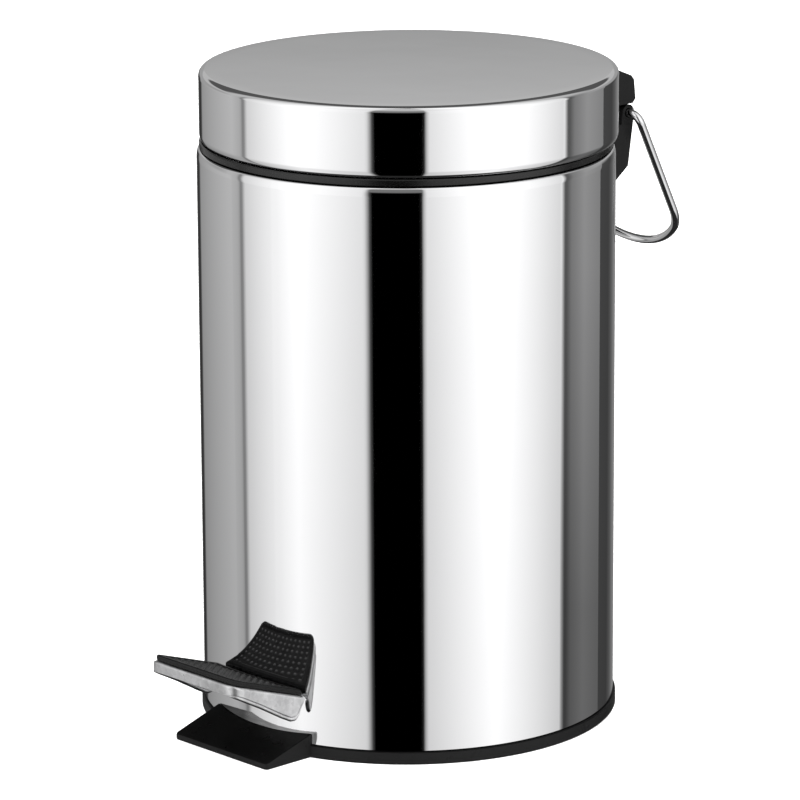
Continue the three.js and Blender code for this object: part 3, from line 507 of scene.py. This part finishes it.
def apply_modifiers(piece):
    """Replaces the piece's mesh with what its modifiers make of it."""
    graph = bpy.context.evaluated_depsgraph_get()
    mesh = bpy.data.meshes.new_from_object(piece.evaluated_get(graph))
    piece.modifiers.clear()
    old = piece.data
    piece.data = mesh
    bpy.data.meshes.remove(old)


def thicken(piece, sheet):
    """Gives an open sheet its thickness, inwards from its outer face."""
    solidify = piece.modifiers.new("thickness", "SOLIDIFY")
    solidify.thickness = sheet * MM
    solidify.offset = -1
    solidify.use_even_offset = True


def soften(piece, width, degrees=40, segments=2):
    """Rounds the edges that are sharper than the given angle."""
    bevel = piece.modifiers.new("edges", "BEVEL")
    bevel.width = width * MM
    bevel.segments = segments
    bevel.limit_method = "ANGLE"
    bevel.angle_limit = math.radians(degrees)
    bevel.use_clamp_overlap = True


def combine(piece, other, operation):
    """Joins another object to this one ("UNION") or cuts it out ("DIFFERENCE"), and
    removes the other."""
    boolean = piece.modifiers.new("boolean", "BOOLEAN")
    boolean.operation = operation
    boolean.solver = "EXACT"
    boolean.object = other
    apply_modifiers(piece)
    mesh = other.data
    bpy.data.objects.remove(other)
    bpy.data.meshes.remove(mesh)


def finish(piece, material, body, slot, *nodes, sharp=50):
    """Applies the modifiers, sets smooth shading, weighs the normals by face area,
    ties the piece to its body and hides the CAD nodes that it stands for."""
    apply_modifiers(piece)
    mark_sharp(piece.data, sharp)
    weighted = piece.modifiers.new("normals", "WEIGHTED_NORMAL")
    weighted.mode = "FACE_AREA"
    weighted.keep_sharp = True
    weighted.weight = 50
    apply_modifiers(piece)
    piece.data.materials.clear()
    piece.data.materials.append(material)
    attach(piece, body)
    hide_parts(*nodes)
    return piece


def ring_angles(exact=(), columns=LARGE_COLUMNS):
    """Even angles round a turned piece, with the nearest ones moved onto exact edges."""
    full = 2 * math.pi
    angles = [full * i / columns for i in range(columns)]
    for angle in exact:
        nearest = min(range(columns), key=lambda i: abs(angles[i] - angle % full))
        angles[nearest] = angle % full
    return angles


def lathe(bm, profile, angles, centre_y=0.0, closed=False, holes=(), open_ring=False):
    """Turns [radius, height] points about an upright axis. `holes` are left out, as
    (first angle, last angle, lowest, highest); an open ring gets flat ends."""
    rows = []
    for radius, height in profile:
        if radius == 0:
            rows.append([bm.verts.new((0, centre_y, height))] * len(angles))
        else:
            rows.append([bm.verts.new((radius * math.cos(a), centre_y + radius * math.sin(a), height))
                         for a in angles])
    count = len(angles)
    spans = range(count - 1) if open_ring else range(count)
    pairs = list(zip(rows, rows[1:] + rows[:1])) if closed else list(zip(rows, rows[1:]))
    for lower, upper in pairs:
        middle = (lower[0].co.z + upper[0].co.z) / 2
        for j in spans:
            k = (j + 1) % count
            turn = angles[j] + (angles[k] - angles[j]) % (2 * math.pi) / 2
            if any(a < turn < b and low < middle < high for a, b, low, high in holes):
                continue
            bm.faces.new(dict.fromkeys((lower[j], lower[k], upper[k], upper[j])))
    if open_ring:
        bm.faces.new([row[0] for row in rows])
        bm.faces.new([row[-1] for row in reversed(rows)])


def arc_points(centre, radius, first, last, steps):
    """[radius, height] points of an arc between two angles in degrees."""
    angles = [math.radians(first + (last - first) * i / steps) for i in range(steps + 1)]
    return [(centre[0] + radius * math.cos(a), centre[1] + radius * math.sin(a)) for a in angles]


def tube(bm, points, radius, sides=20):
    """A round wire along a list of points, with chamfered ends."""
    points = [Vector(p) for p in points]
    last = len(points) - 1
    tangents = [(points[min(i + 1, last)] - points[max(i - 1, 0)]).normalized()
                for i in range(last + 1)]
    across = tangents[0].orthogonal().normalized()
    rings = []

    def ring(centre, tangent, size):
        side = tangent.cross(across)
        turns = [2 * math.pi * i / sides for i in range(sides)]
        return [bm.verts.new(centre + size * (math.cos(t) * across + math.sin(t) * side)) for t in turns]

    edge = 0.2 * radius
    for i, (point, tangent) in enumerate(zip(points, tangents)):
        across = (across - tangent * across.dot(tangent)).normalized()
        if i == 0:
            rings.append(ring(point, tangent, radius - edge))
            rings.append(ring(point + tangent * edge, tangent, radius))
        elif i == last:
            rings.append(ring(point - tangent * edge, tangent, radius))
            rings.append(ring(point, tangent, radius - edge))
        else:
            rings.append(ring(point, tangent, radius))
    for first, second in zip(rings, rings[1:]):
        for j in range(sides):
            k = (j + 1) % sides
            bm.faces.new((first[j], first[k], second[k], second[j]))
    bm.faces.new(reversed(rings[0]))
    bm.faces.new(rings[-1])


def bezier(a, b, c, steps=12):
    """Points of a quadratic curve from a to c that bends towards b."""
    points = []
    for i in range(steps + 1):
        t = i / steps
        points.append((1 - t) ** 2 * Vector(a) + 2 * t * (1 - t) * Vector(b) + t ** 2 * Vector(c))
    return points


def bent_path(corners, bends):
    """A path of straight runs with a smooth bend of the given length at each corner."""
    corners = [Vector(c) for c in corners]
    path = [corners[0]]
    for before, corner, after, bend in zip(corners, corners[1:], corners[2:], bends):
        into = (corner - before).normalized()
        out = (after - corner).normalized()
        path += bezier(corner - into * bend, corner, corner + out * bend)
    return path + [corners[-1]]


def prism(bm, outline, low, high, axis):
    """Extrudes an outline along X (axis 0) or Z (axis 2). `low` and `high` are numbers
    or functions of the outline's two values."""
    def corner(u, v, level):
        level = level(u, v) if callable(level) else level
        return (level, u, v) if axis == 0 else (u, v, level)

    lower = [bm.verts.new(corner(u, v, low)) for u, v in outline]
    upper = [bm.verts.new(corner(u, v, high)) for u, v in outline]
    bm.faces.new(reversed(lower))
    bm.faces.new(upper)
    for i in range(len(outline)):
        j = (i + 1) % len(outline)
        bm.faces.new((lower[i], lower[j], upper[j], upper[i]))


# -------------------------------------------------------------- body, rim, base

def body_shell():
    """The body tube, with its shoulder, the lever's slot and the notch at the back."""
    slot = math.asin(SLOT_HALF / BODY_RADIUS)
    front = 1.5 * math.pi
    notch = [math.acos(NOTCH_RIGHT / BODY_RADIUS), math.acos(NOTCH_LEFT / BODY_RADIUS)]
    angles = ring_angles([front - slot, front + slot, *notch])
    wall = [(BODY_RADIUS, z) for z in (SHELL_BOTTOM, SLOT_LOW, SLOT_HIGH, NOTCH_LOW)]
    lean = math.radians(SHOULDER_TURN)
    lean_centre = BODY_RADIUS - SHOULDER_RADIUS
    to_edge = SHOULDER_RADIUS - SHOULDER_EDGE
    edge_centre = (lean_centre + to_edge * math.cos(lean), SHOULDER_START + to_edge * math.sin(lean))
    profile = wall + arc_points((lean_centre, SHOULDER_START), SHOULDER_RADIUS, 0, SHOULDER_TURN, 6)
    profile += arc_points(edge_centre, SHOULDER_EDGE, SHOULDER_TURN, SHOULDER_END, 8)[1:]
    bm = bmesh.new()
    lathe(bm, profile, angles, holes=[
        (front - slot, front + slot, SLOT_LOW, SLOT_HIGH), (*notch, NOTCH_LOW, BODY_HIGH.z)])
    piece = bare_object("body_cylinder", bm, closed=False)
    thicken(piece, SHEET)
    soften(piece, 0.2, degrees=60)
    finish(piece, POLISHED_STEEL, "root", "polished_steel", "body_shell")


def lid_shell():
    """The lid: a flat top, a rounded edge and a lower edge that curls in."""
    angles = [math.radians(LID_CURL_END * i / 12) for i in range(12, -1, -1)]
    lower = [(LID_RADIUS - LID_CURL_IN * (1 - math.cos(a)),
              LID_CURL_START - LID_CURL_HEIGHT * math.sin(a)) for a in angles]
    fillet = arc_points((LID_RADIUS - LID_FILLET, LID_TOP - LID_FILLET), LID_FILLET, 0, 90, 12)
    top = [(LID_RADIUS * share, LID_TOP) for share in (0.9, 0.6, 0.3)]
    bm = bmesh.new()
    lathe(bm, lower + fillet + top + [(0, LID_TOP)], ring_angles(), centre_y=LID_SETBACK)
    piece = bare_object("lid_cover", bm, closed=False)
    thicken(piece, SHEET)
    soften(piece, 0.2, degrees=60)
    finish(piece, POLISHED_STEEL, "lid", "polished_steel", "lid_shell")


def rim_ring():
    """The ring on the body's top edge, open at the back where the lifting arm passes."""
    edge = 0.6
    under_seat = RIM_SEAT - RIM_SEAT_THICKNESS
    profile = [
        (RIM_SEAT_INNER, under_seat), (RIM_SKIRT_INNER, under_seat), (RIM_SKIRT_INNER, RIM_SKIRT_LOW),
        (RIM_SKIRT_OUTER, RIM_SKIRT_LOW), (RIM_SKIRT_OUTER, RIM_FLANGE_LOW),
        (RIM_RADIUS, RIM_FLANGE_LOW + 0.2),
        *arc_points((RIM_RADIUS - edge, RIM_TOP - edge), edge, 0, 90, 5),
        (RIM_TOP_INNER, RIM_TOP), (RIM_RECESS, RIM_TOP - RIM_RECESS_DEPTH), (RIM_RECESS, RIM_SEAT),
        (RIM_SEAT_INNER, RIM_SEAT),
    ]
    first = math.acos(NOTCH_LEFT / RIM_RADIUS)
    last = 2 * math.pi + math.acos(NOTCH_RIGHT / RIM_RADIUS)
    angles = [first + (last - first) * i / LARGE_COLUMNS for i in range(LARGE_COLUMNS + 1)]
    bm = bmesh.new()
    lathe(bm, profile, angles, closed=True, open_ring=True)
    piece = bare_object("rim", bm)
    soften(piece, 0.15, degrees=50)
    finish(piece, RIM_PLASTIC, "root", "black_plastic", "rim_ring")


def wedge_height(_, y):
    """Height of the foot's sloping top."""
    share = (y - WEDGE_TIP_Y) / (WEDGE_ROOT_Y - WEDGE_TIP_Y)
    return WEDGE_TIP_HEIGHT + share * (WEDGE_ROOT_HEIGHT - WEDGE_TIP_HEIGHT)


def base_wedge():
    """The foot under the pedal: a ramp with rounded front corners and edges."""
    tip_corner = (WEDGE_TIP_HALF, WEDGE_TIP_Y)
    side_run = (WEDGE_TIP_HALF + 0.1, WEDGE_TIP_Y + WEDGE_CORNER)
    front_run = (WEDGE_TIP_HALF - WEDGE_CORNER, WEDGE_TIP_Y)
    right = [tuple(p)[:2] for p in bezier((*front_run, 0), (*tip_corner, 0), (*side_run, 0), 8)]
    outline = right + [(WEDGE_ROOT_HALF, WEDGE_ROOT_Y), (-WEDGE_ROOT_HALF, WEDGE_ROOT_Y)]
    outline += [(-x, y) for x, y in reversed(right)]
    bm = bmesh.new()
    prism(bm, outline, 0.0, wedge_height, axis=2)
    piece = bare_object("wedge", bm)
    soften(piece, 0.55, degrees=40, segments=3)
    apply_modifiers(piece)
    cutter_bm = bmesh.new()
    radius, depth = BODY_RADIUS + 0.3, 20
    bmesh.ops.create_cone(cutter_bm, cap_ends=True, segments=LARGE_COLUMNS, radius1=radius,
                          radius2=radius, depth=depth)
    bmesh.ops.translate(cutter_bm, vec=(0, 0, BASE_HEIGHT + depth / 2), verts=cutter_bm.verts)
    combine(piece, bare_object("cutter", cutter_bm), "DIFFERENCE")
    return piece


def axle_lug(sign):
    """One of the two lugs that hold the pedal's axle."""
    outline = [(PIVOT_Y + side * LUG_FOOT_HALF, BASE_PLATE_TOP - 1) for side in (-1, 1)]
    outline += [(PIVOT_Y + along, PIVOT_Z + up) for along, up in LUG_OUTLINE]
    ends = sorted((sign * LUG_INNER, sign * LUG_OUTER))
    bm = bmesh.new()
    prism(bm, outline, *ends, axis=0)
    return bare_object("lug", bm)


def base_tray():
    """The base: a tray that the body stands in, with the foot and the axle's lugs."""
    chamfer = 0.6
    profile = [
        (0, BASE_PLATE_LOW), (BASE_FOOT_INNER, BASE_PLATE_LOW), (BASE_FOOT_INNER, 0),
        (BASE_RADIUS - chamfer, 0), (BASE_RADIUS, chamfer), (BASE_RADIUS, BASE_HEIGHT - 0.3),
        (BASE_RADIUS - 0.3, BASE_HEIGHT), (BASE_SKIRT_OUTER, BASE_HEIGHT),
        (BASE_SKIRT_OUTER, BASE_SKIRT_TOP), (BASE_SKIRT_INNER, BASE_SKIRT_TOP),
        (BASE_SKIRT_INNER, BASE_PLATE_TOP), (0, BASE_PLATE_TOP),
    ]
    bm = bmesh.new()
    lathe(bm, profile, ring_angles())
    piece = bare_object("base", bm)
    combine(piece, base_wedge(), "UNION")
    for sign in (-1, 1):
        combine(piece, axle_lug(sign), "UNION")
    finish(piece, BLACK_PLASTIC, "root", "black_plastic", "base_tray", sharp=35)


# ------------------------------------------------------------------------ pedal

def tread_top(y):
    """Height of the steel tread's upper face."""
    return TREAD_FRONT_Z - TREAD_SLOPE * (y - TREAD_FRONT_Y)


def between(points, value):
    """Straight-line reading of a list of [place, level] points."""
    for (a, low), (b, high) in zip(points, points[1:]):
        if value <= b:
            share = max(0.0, (value - a) / (b - a))
            return low + share * (high - low)
    return points[-1][1]


def tread_outline(inset, rear_radius, step=0.8):
    """Points round the tread, anticlockwise from the right rear corner."""
    half = TREAD_HALF - inset
    front = TREAD_FRONT_Y + inset
    corner = TREAD_CORNER - inset
    side_rear = -math.sqrt(rear_radius ** 2 - half ** 2)
    rear_turn = math.asin(half / rear_radius)
    points = []

    def run(a, b):
        count = max(1, round((Vector(b) - Vector(a)).length / step))
        points.extend(tuple(Vector(a).lerp(Vector(b), i / count)) for i in range(count))

    def turn(centre, radius, first, last, count):
        for i in range(count):
            angle = math.radians(first + (last - first) * i / count)
            points.append((centre[0] + radius * math.cos(angle), centre[1] + radius * math.sin(angle)))

    rear_count = round(2 * half / step)
    for i in range(rear_count):
        angle = 1.5 * math.pi + rear_turn - 2 * rear_turn * i / rear_count
        points.append((rear_radius * math.cos(angle), rear_radius * math.sin(angle)))
    run((-half, side_rear), (-half, front + corner))
    turn((corner - half, front + corner), corner, 180, 270, 10)
    run((corner - half, front), (half - corner, front))
    turn((half - corner, front + corner), corner, 270, 360, 10)
    run((half, front + corner), (half, side_rear))
    return points


def inward_normals(points):
    """Unit directions into an anticlockwise closed outline, at each of its points."""
    normals = []
    for i, point in enumerate(points):
        before = Vector(points[i - 1])
        after = Vector(points[(i + 1) % len(points)])
        along = (after - before).normalized()
        normals.append(Vector((-along.y, along.x)))
    return normals


def pan_section(depth, along_side):
    """[inwards, downwards] points of a cut through the pan's edge: the roll, the side
    wall and its beaded hem. The hem fades out where `along_side` is 0."""
    radius = min(PAN_ROLL, depth / 2)
    hem = PAN_BEAD * along_side * min(1.0, max(0.0, (depth - 2.0) / 3.0))
    wall_end = max(radius, depth - 2 * hem)
    inner = min(PAN_SHEET, radius + PAN_LIP)
    section = [(radius + PAN_LIP, 0.0)]
    for degrees in range(0, 91, 15):
        turn = math.radians(degrees)
        section.append((radius - radius * math.sin(turn), radius - radius * math.cos(turn)))
    section.append((0.0, wall_end))
    for degrees in range(-80, 261, 20):
        turn = math.radians(degrees)
        section.append((hem * 0.75 - hem * math.cos(turn), depth - hem + hem * math.sin(turn)))
    section += [(inner, wall_end), (inner, min(PAN_SHEET + radius, depth)),
                (radius + PAN_LIP, PAN_SHEET)]
    return section


def pedal_pan():
    """A pressed tray: flat top, rolled edge, side walls that deepen towards the bin
    and a beaded hem along the lower edge of the side walls."""
    outline = tread_outline(0, PAN_REAR_RADIUS)
    bm = bmesh.new()
    columns = []
    for (x, y), normal in zip(outline, inward_normals(outline)):
        at_rear = math.hypot(x, y) < PAN_REAR_RADIUS + 0.05
        depth = PAN_SHEET if at_rear else max(PAN_SHEET, tread_top(y) - between(SKIRT_HEM, y))
        along_side = min(1.0, max(0.0, (abs(x) - TREAD_HALF + TREAD_CORNER) / TREAD_CORNER))
        column = []
        for inset, down in pan_section(depth, along_side):
            place_y = y + normal.y * inset
            column.append(bm.verts.new((x + normal.x * inset, place_y, tread_top(place_y) - down)))
        columns.append(column)
    for first, second in zip(columns, columns[1:] + columns[:1]):
        for j in range(len(first) - 1):
            bm.faces.new((first[j], first[j + 1], second[j + 1], second[j]))
    bm.faces.new([column[0] for column in columns])
    bm.faces.new([column[-1] for column in reversed(columns)])
    piece = bare_object("pedal_tray", bm)
    finish(piece, ZINC_STEEL, "pedal", "zinc_steel", "pedal_pan", sharp=60)


def pad_height(x, y, edge):
    """Height of the pad's upper face at a place, `edge` millimetres in from its side:
    a raised border round a sunken field with rows of round studs. Also how much paler its stud tops are
    painted, partly for wear and partly as a painted highlight."""
    if edge < PAD_BORDER:
        short = max(0.0, PAD_EDGE_RADIUS - edge)
        rounded = PAD_EDGE_RADIUS - math.sqrt(max(0.0, PAD_EDGE_RADIUS ** 2 - short ** 2))
        return PAD_THICKNESS - rounded, 0.0
    floor = PAD_THICKNESS - STUD_HEIGHT * min(1.0, (edge - PAD_BORDER) / PAD_CELL)
    column = round(x / STUD_PITCH)
    row = round((y - TREAD_FRONT_Y) / STUD_PITCH)
    away = math.hypot(x - column * STUD_PITCH, y - TREAD_FRONT_Y - row * STUD_PITCH)
    if away > STUD_RADIUS or edge < PAD_BORDER + STUD_RADIUS / 2:
        return floor, 0.0
    share = 0.5 + 0.5 * math.cos(math.pi * away / STUD_RADIUS)
    return floor + STUD_HEIGHT * share, share


def spaced(low, high, step, fine):
    """Places from low to high, closer together at both ends."""
    ends = [fine * share for share in (0, 0.08, 0.25, 0.55, 1.0)]
    inner_low, inner_high = low + fine, high - fine
    count = round((inner_high - inner_low) / step)
    middle = [inner_low + (inner_high - inner_low) * i / count for i in range(1, count)]
    return [low + e for e in ends] + middle + [high - e for e in reversed(ends)]


def pedal_pad():
    """The rubber pad: rounded edge, plain border and a field of round studs."""
    half = TREAD_HALF - PAD_INSET
    front = TREAD_FRONT_Y + PAD_INSET
    corner = TREAD_CORNER - PAD_INSET
    length = abs(front) - math.sqrt(PAD_REAR_RADIUS ** 2 - half ** 2)
    across = spaced(-half, half, PAD_CELL, PAD_EDGE_RADIUS)
    along = spaced(0.0, length, PAD_CELL, PAD_EDGE_RADIUS)
    bm = bmesh.new()
    wear_and_glint = bm.verts.layers.float.new("wear_and_glint")
    grid = []
    for share_y in along:
        row = []
        for x in across:
            over = max(0.0, abs(x) - (half - corner))
            y_front = front + corner - math.sqrt(max(0.0, corner ** 2 - over ** 2))
            y_rear = -math.sqrt(PAD_REAR_RADIUS ** 2 - x * x)
            y = y_front + (y_rear - y_front) * share_y / length
            side = half - abs(x)
            if over > 0 and y < front + corner:
                side = corner - math.hypot(over, y - front - corner)
            edge = max(0.0, min(side, y - front, math.hypot(x, y) - PAD_REAR_RADIUS))
            height, worn_and_glinting = pad_height(x, y, edge)
            row.append(bm.verts.new((x, y, tread_top(y) + PAD_GAP + height)))
            # How much of the paler stud-top colour each point gets: partly wear, partly a painted
            # highlight.
            row[-1][wear_and_glint] = worn_and_glinting
        grid.append(row)
    for first, second in zip(grid, grid[1:]):
        for j in range(len(first) - 1):
            bm.faces.new((first[j], first[j + 1], second[j + 1], second[j]))
    right_side = [row[-1] for row in grid[:-1]]
    left_side = [row[0] for row in grid[:0:-1]]
    loop = grid[0][:-1] + right_side + grid[-1][:0:-1] + left_side
    lower = [bm.verts.new((v.co.x, v.co.y, tread_top(v.co.y) + PAD_GAP)) for v in loop]
    for i in range(len(loop)):
        j = (i + 1) % len(loop)
        bm.faces.new((loop[i], lower[i], lower[j], loop[j]))
    bm.faces.new(lower)
    piece = bare_object("pedal_rubber", bm)
    finish(piece, BLACK_RUBBER, "pedal", "black_rubber", "pedal_pad", sharp=60)


# ------------------------------------------------------------ bucket and wires

def inner_bucket():
    """The tapered bucket, with its lip and the two ears that hold the bail."""
    corner = 3.0
    under_lip = BUCKET_TOP - BUCKET_LIP_DEPTH
    inner_top = BUCKET_WALL_TOP - BUCKET_WALL
    inner_bottom = BUCKET_WALL_BOTTOM - BUCKET_WALL
    steps = 6
    taper = [(BUCKET_WALL_BOTTOM + (BUCKET_WALL_TOP - BUCKET_WALL_BOTTOM) * i / steps,
              BUCKET_BOTTOM + corner + (under_lip - BUCKET_BOTTOM - 4) * i / steps)
             for i in range(steps + 1)]
    profile = [
        (0, BUCKET_BOTTOM),
        *arc_points((BUCKET_WALL_BOTTOM - corner, BUCKET_BOTTOM + corner), corner, -90, 0, 6),
        *taper[1:], (BUCKET_WALL_TOP + 0.3, under_lip), (BUCKET_LIP_RADIUS - 0.4, under_lip),
        *arc_points((BUCKET_LIP_RADIUS - BUCKET_LIP_EDGE, BUCKET_TOP - BUCKET_LIP_EDGE),
                    BUCKET_LIP_EDGE, -60, 90, 6),
        (inner_top + 0.6, BUCKET_TOP), (inner_top, BUCKET_TOP - 0.6),
        *[(radius - BUCKET_WALL, z) for radius, z in reversed(taper[1:-1])],
        (inner_bottom, BUCKET_BOTTOM + 3.4), (inner_bottom - 2, BUCKET_BOTTOM + BUCKET_FLOOR),
        (0, BUCKET_BOTTOM + BUCKET_FLOOR),
    ]
    bm = bmesh.new()
    lathe(bm, profile, ring_angles())
    piece = bare_object("waste_bucket", bm)
    neck = EAR_RADIUS + 0.2
    outline = [(-5, BUCKET_TOP - 1), (5, BUCKET_TOP - 1), (neck, BUCKET_TOP + 0.4),
               *arc_points((0, BAIL_Z), EAR_RADIUS, 0, 180, 10), (-neck, BUCKET_TOP + 0.4)]
    for sign in (-1, 1):
        ear_bm = bmesh.new()
        prism(ear_bm, outline, *sorted((sign * EAR_INNER, sign * EAR_OUTER)), axis=0)
        combine(piece, bare_object("ear", ear_bm), "UNION")
    finish(piece, BUCKET_PLASTIC, "bucket", "bucket_plastic", "inner_bucket", sharp=40)


def bucket_bail():
    """The bucket's wire bail, lying on its rim, with both ends turned into the ears."""
    start = math.asin(BAIL_BEND / BAIL_RADIUS)
    arc = [start + (math.pi - 2 * start) * i / 60 for i in range(61)]
    round_part = [Vector((BAIL_RADIUS * math.cos(a), -BAIL_RADIUS * math.sin(a), BAIL_Z)) for a in arc]
    turn = bezier((BAIL_RADIUS - BAIL_BEND, 0, BAIL_Z), (BAIL_RADIUS, 0, BAIL_Z), round_part[0], 8)
    mirror = [Vector((-p.x, p.y, p.z)) for p in reversed(turn)]
    path = [(BAIL_HOOK_X, 0, BAIL_Z), *turn, *round_part[1:-1], *mirror, (-BAIL_HOOK_X, 0, BAIL_Z)]
    bm = bmesh.new()
    tube(bm, path, BAIL_WIRE, sides=16)
    finish(bare_object("bucket_handle", bm), CHROME_WIRE, "bail", "chrome_wire", "bucket_bail")


def on_handle(x, reach):
    """A point of the flat handle, from its X and its distance from the hinge."""
    return Vector((x, HINGE_Y + reach * math.sin(HANDLE_TILT), HINGE_Z - reach * math.cos(HANDLE_TILT)))


def carry_handle():
    """The wire handle: its ends turn in the bracket, the legs run down beside it, and
    the grip between the corners bows away from the hinge."""
    sag = HANDLE_REACH - HANDLE_CORNER_REACH
    radius = (HANDLE_CORNER_X ** 2 + sag ** 2) / (2 * sag)

    def grip(angle):
        return on_handle(radius * math.sin(angle), HANDLE_REACH - radius * (1 - math.cos(angle)))

    end = math.asin(HANDLE_CORNER_X / radius) - HANDLE_CORNER_BEND / radius
    shoulder = on_handle(HANDLE_SHOULDER_X, 0)
    corner = on_handle(HANDLE_CORNER_X, HANDLE_CORNER_REACH)
    leg = (corner - shoulder).normalized()
    right = [on_handle(HANDLE_START_X, 0)]
    right += bezier(shoulder - Vector((HANDLE_SHOULDER_BEND, 0, 0)), shoulder,
                    shoulder + leg * HANDLE_SHOULDER_BEND)
    right += bezier(corner - leg * HANDLE_CORNER_BEND, corner, grip(end), 20)
    right += [grip(end * (1 - i / 24)) for i in range(1, 25)]
    left = [Vector((-p.x, p.y, p.z)) for p in reversed(right[:-1])]
    bm = bmesh.new()
    tube(bm, right + left, WIRE, sides=24)
    finish(bare_object("wire_handle", bm), CHROME_WIRE, "handle", "chrome_wire", "carry_handle")


def push_rod():
    """The rod behind the body, cranked inwards to the lever, with both ends bent over."""
    corners = [(ROD_TOP_END_X, ROD_Y, ROD_TOP_Z), (ROD_X, ROD_Y, ROD_TOP_Z),
               (ROD_X, ROD_Y, ROD_CRANK_HIGH), (ROD_X, LEVER_END_Y, ROD_CRANK_LOW),
               (ROD_X, LEVER_END_Y, LEVER_END_Z), (ROD_LOW_END_X, LEVER_END_Y, LEVER_END_Z)]
    bm = bmesh.new()
    tube(bm, bent_path(corners, ROD_BENDS), ROD_RADIUS, sides=16)
    finish(bare_object("lifting_rod", bm), ZINC_STEEL, "rod", "zinc_steel", "push_rod")


# ---------------------------------------------------------- CAD nodes that stay

# Their materials and the width in millimetres and the steps of their rounded edges.
KEPT_NODES = {
    "hinge_body_bracket": (BLACK_PLASTIC, 0.5, 3),
    "hinge_lid_bracket": (BLACK_PLASTIC, 0.5, 3),
    "rod_guide": (BLACK_PLASTIC, 0.3, 2),
    "hinge_pin": (CHROME_WIRE, 0.2, 2),
}
HARDWARE = (
    "pedal_lever", "pedal_axle", "axle_clip_left", "axle_clip_right", "lever_rivet_front",
    "lever_rivet_rear", "rod_retainer", "body_bracket_screw_left", "body_bracket_screw_right",
    "lid_bracket_screw_left", "lid_bracket_screw_right",
)
KEPT_NODES.update({node: (ZINC_STEEL, 0.15, 2) for node in HARDWARE})


def dress(node, material, width, segments):
    """Gives a CAD node its material and rounds its edges."""
    piece = NODES[node]
    piece.data.materials.clear()
    piece.data.materials.append(material)
    soften(piece, width, degrees=35, segments=segments)


for make in (body_shell, lid_shell, rim_ring, base_tray, pedal_pan, pedal_pad, inner_bucket,
             bucket_bail, carry_handle, push_rod):
    make()
for node, look in KEPT_NODES.items():
    dress(node, *look)
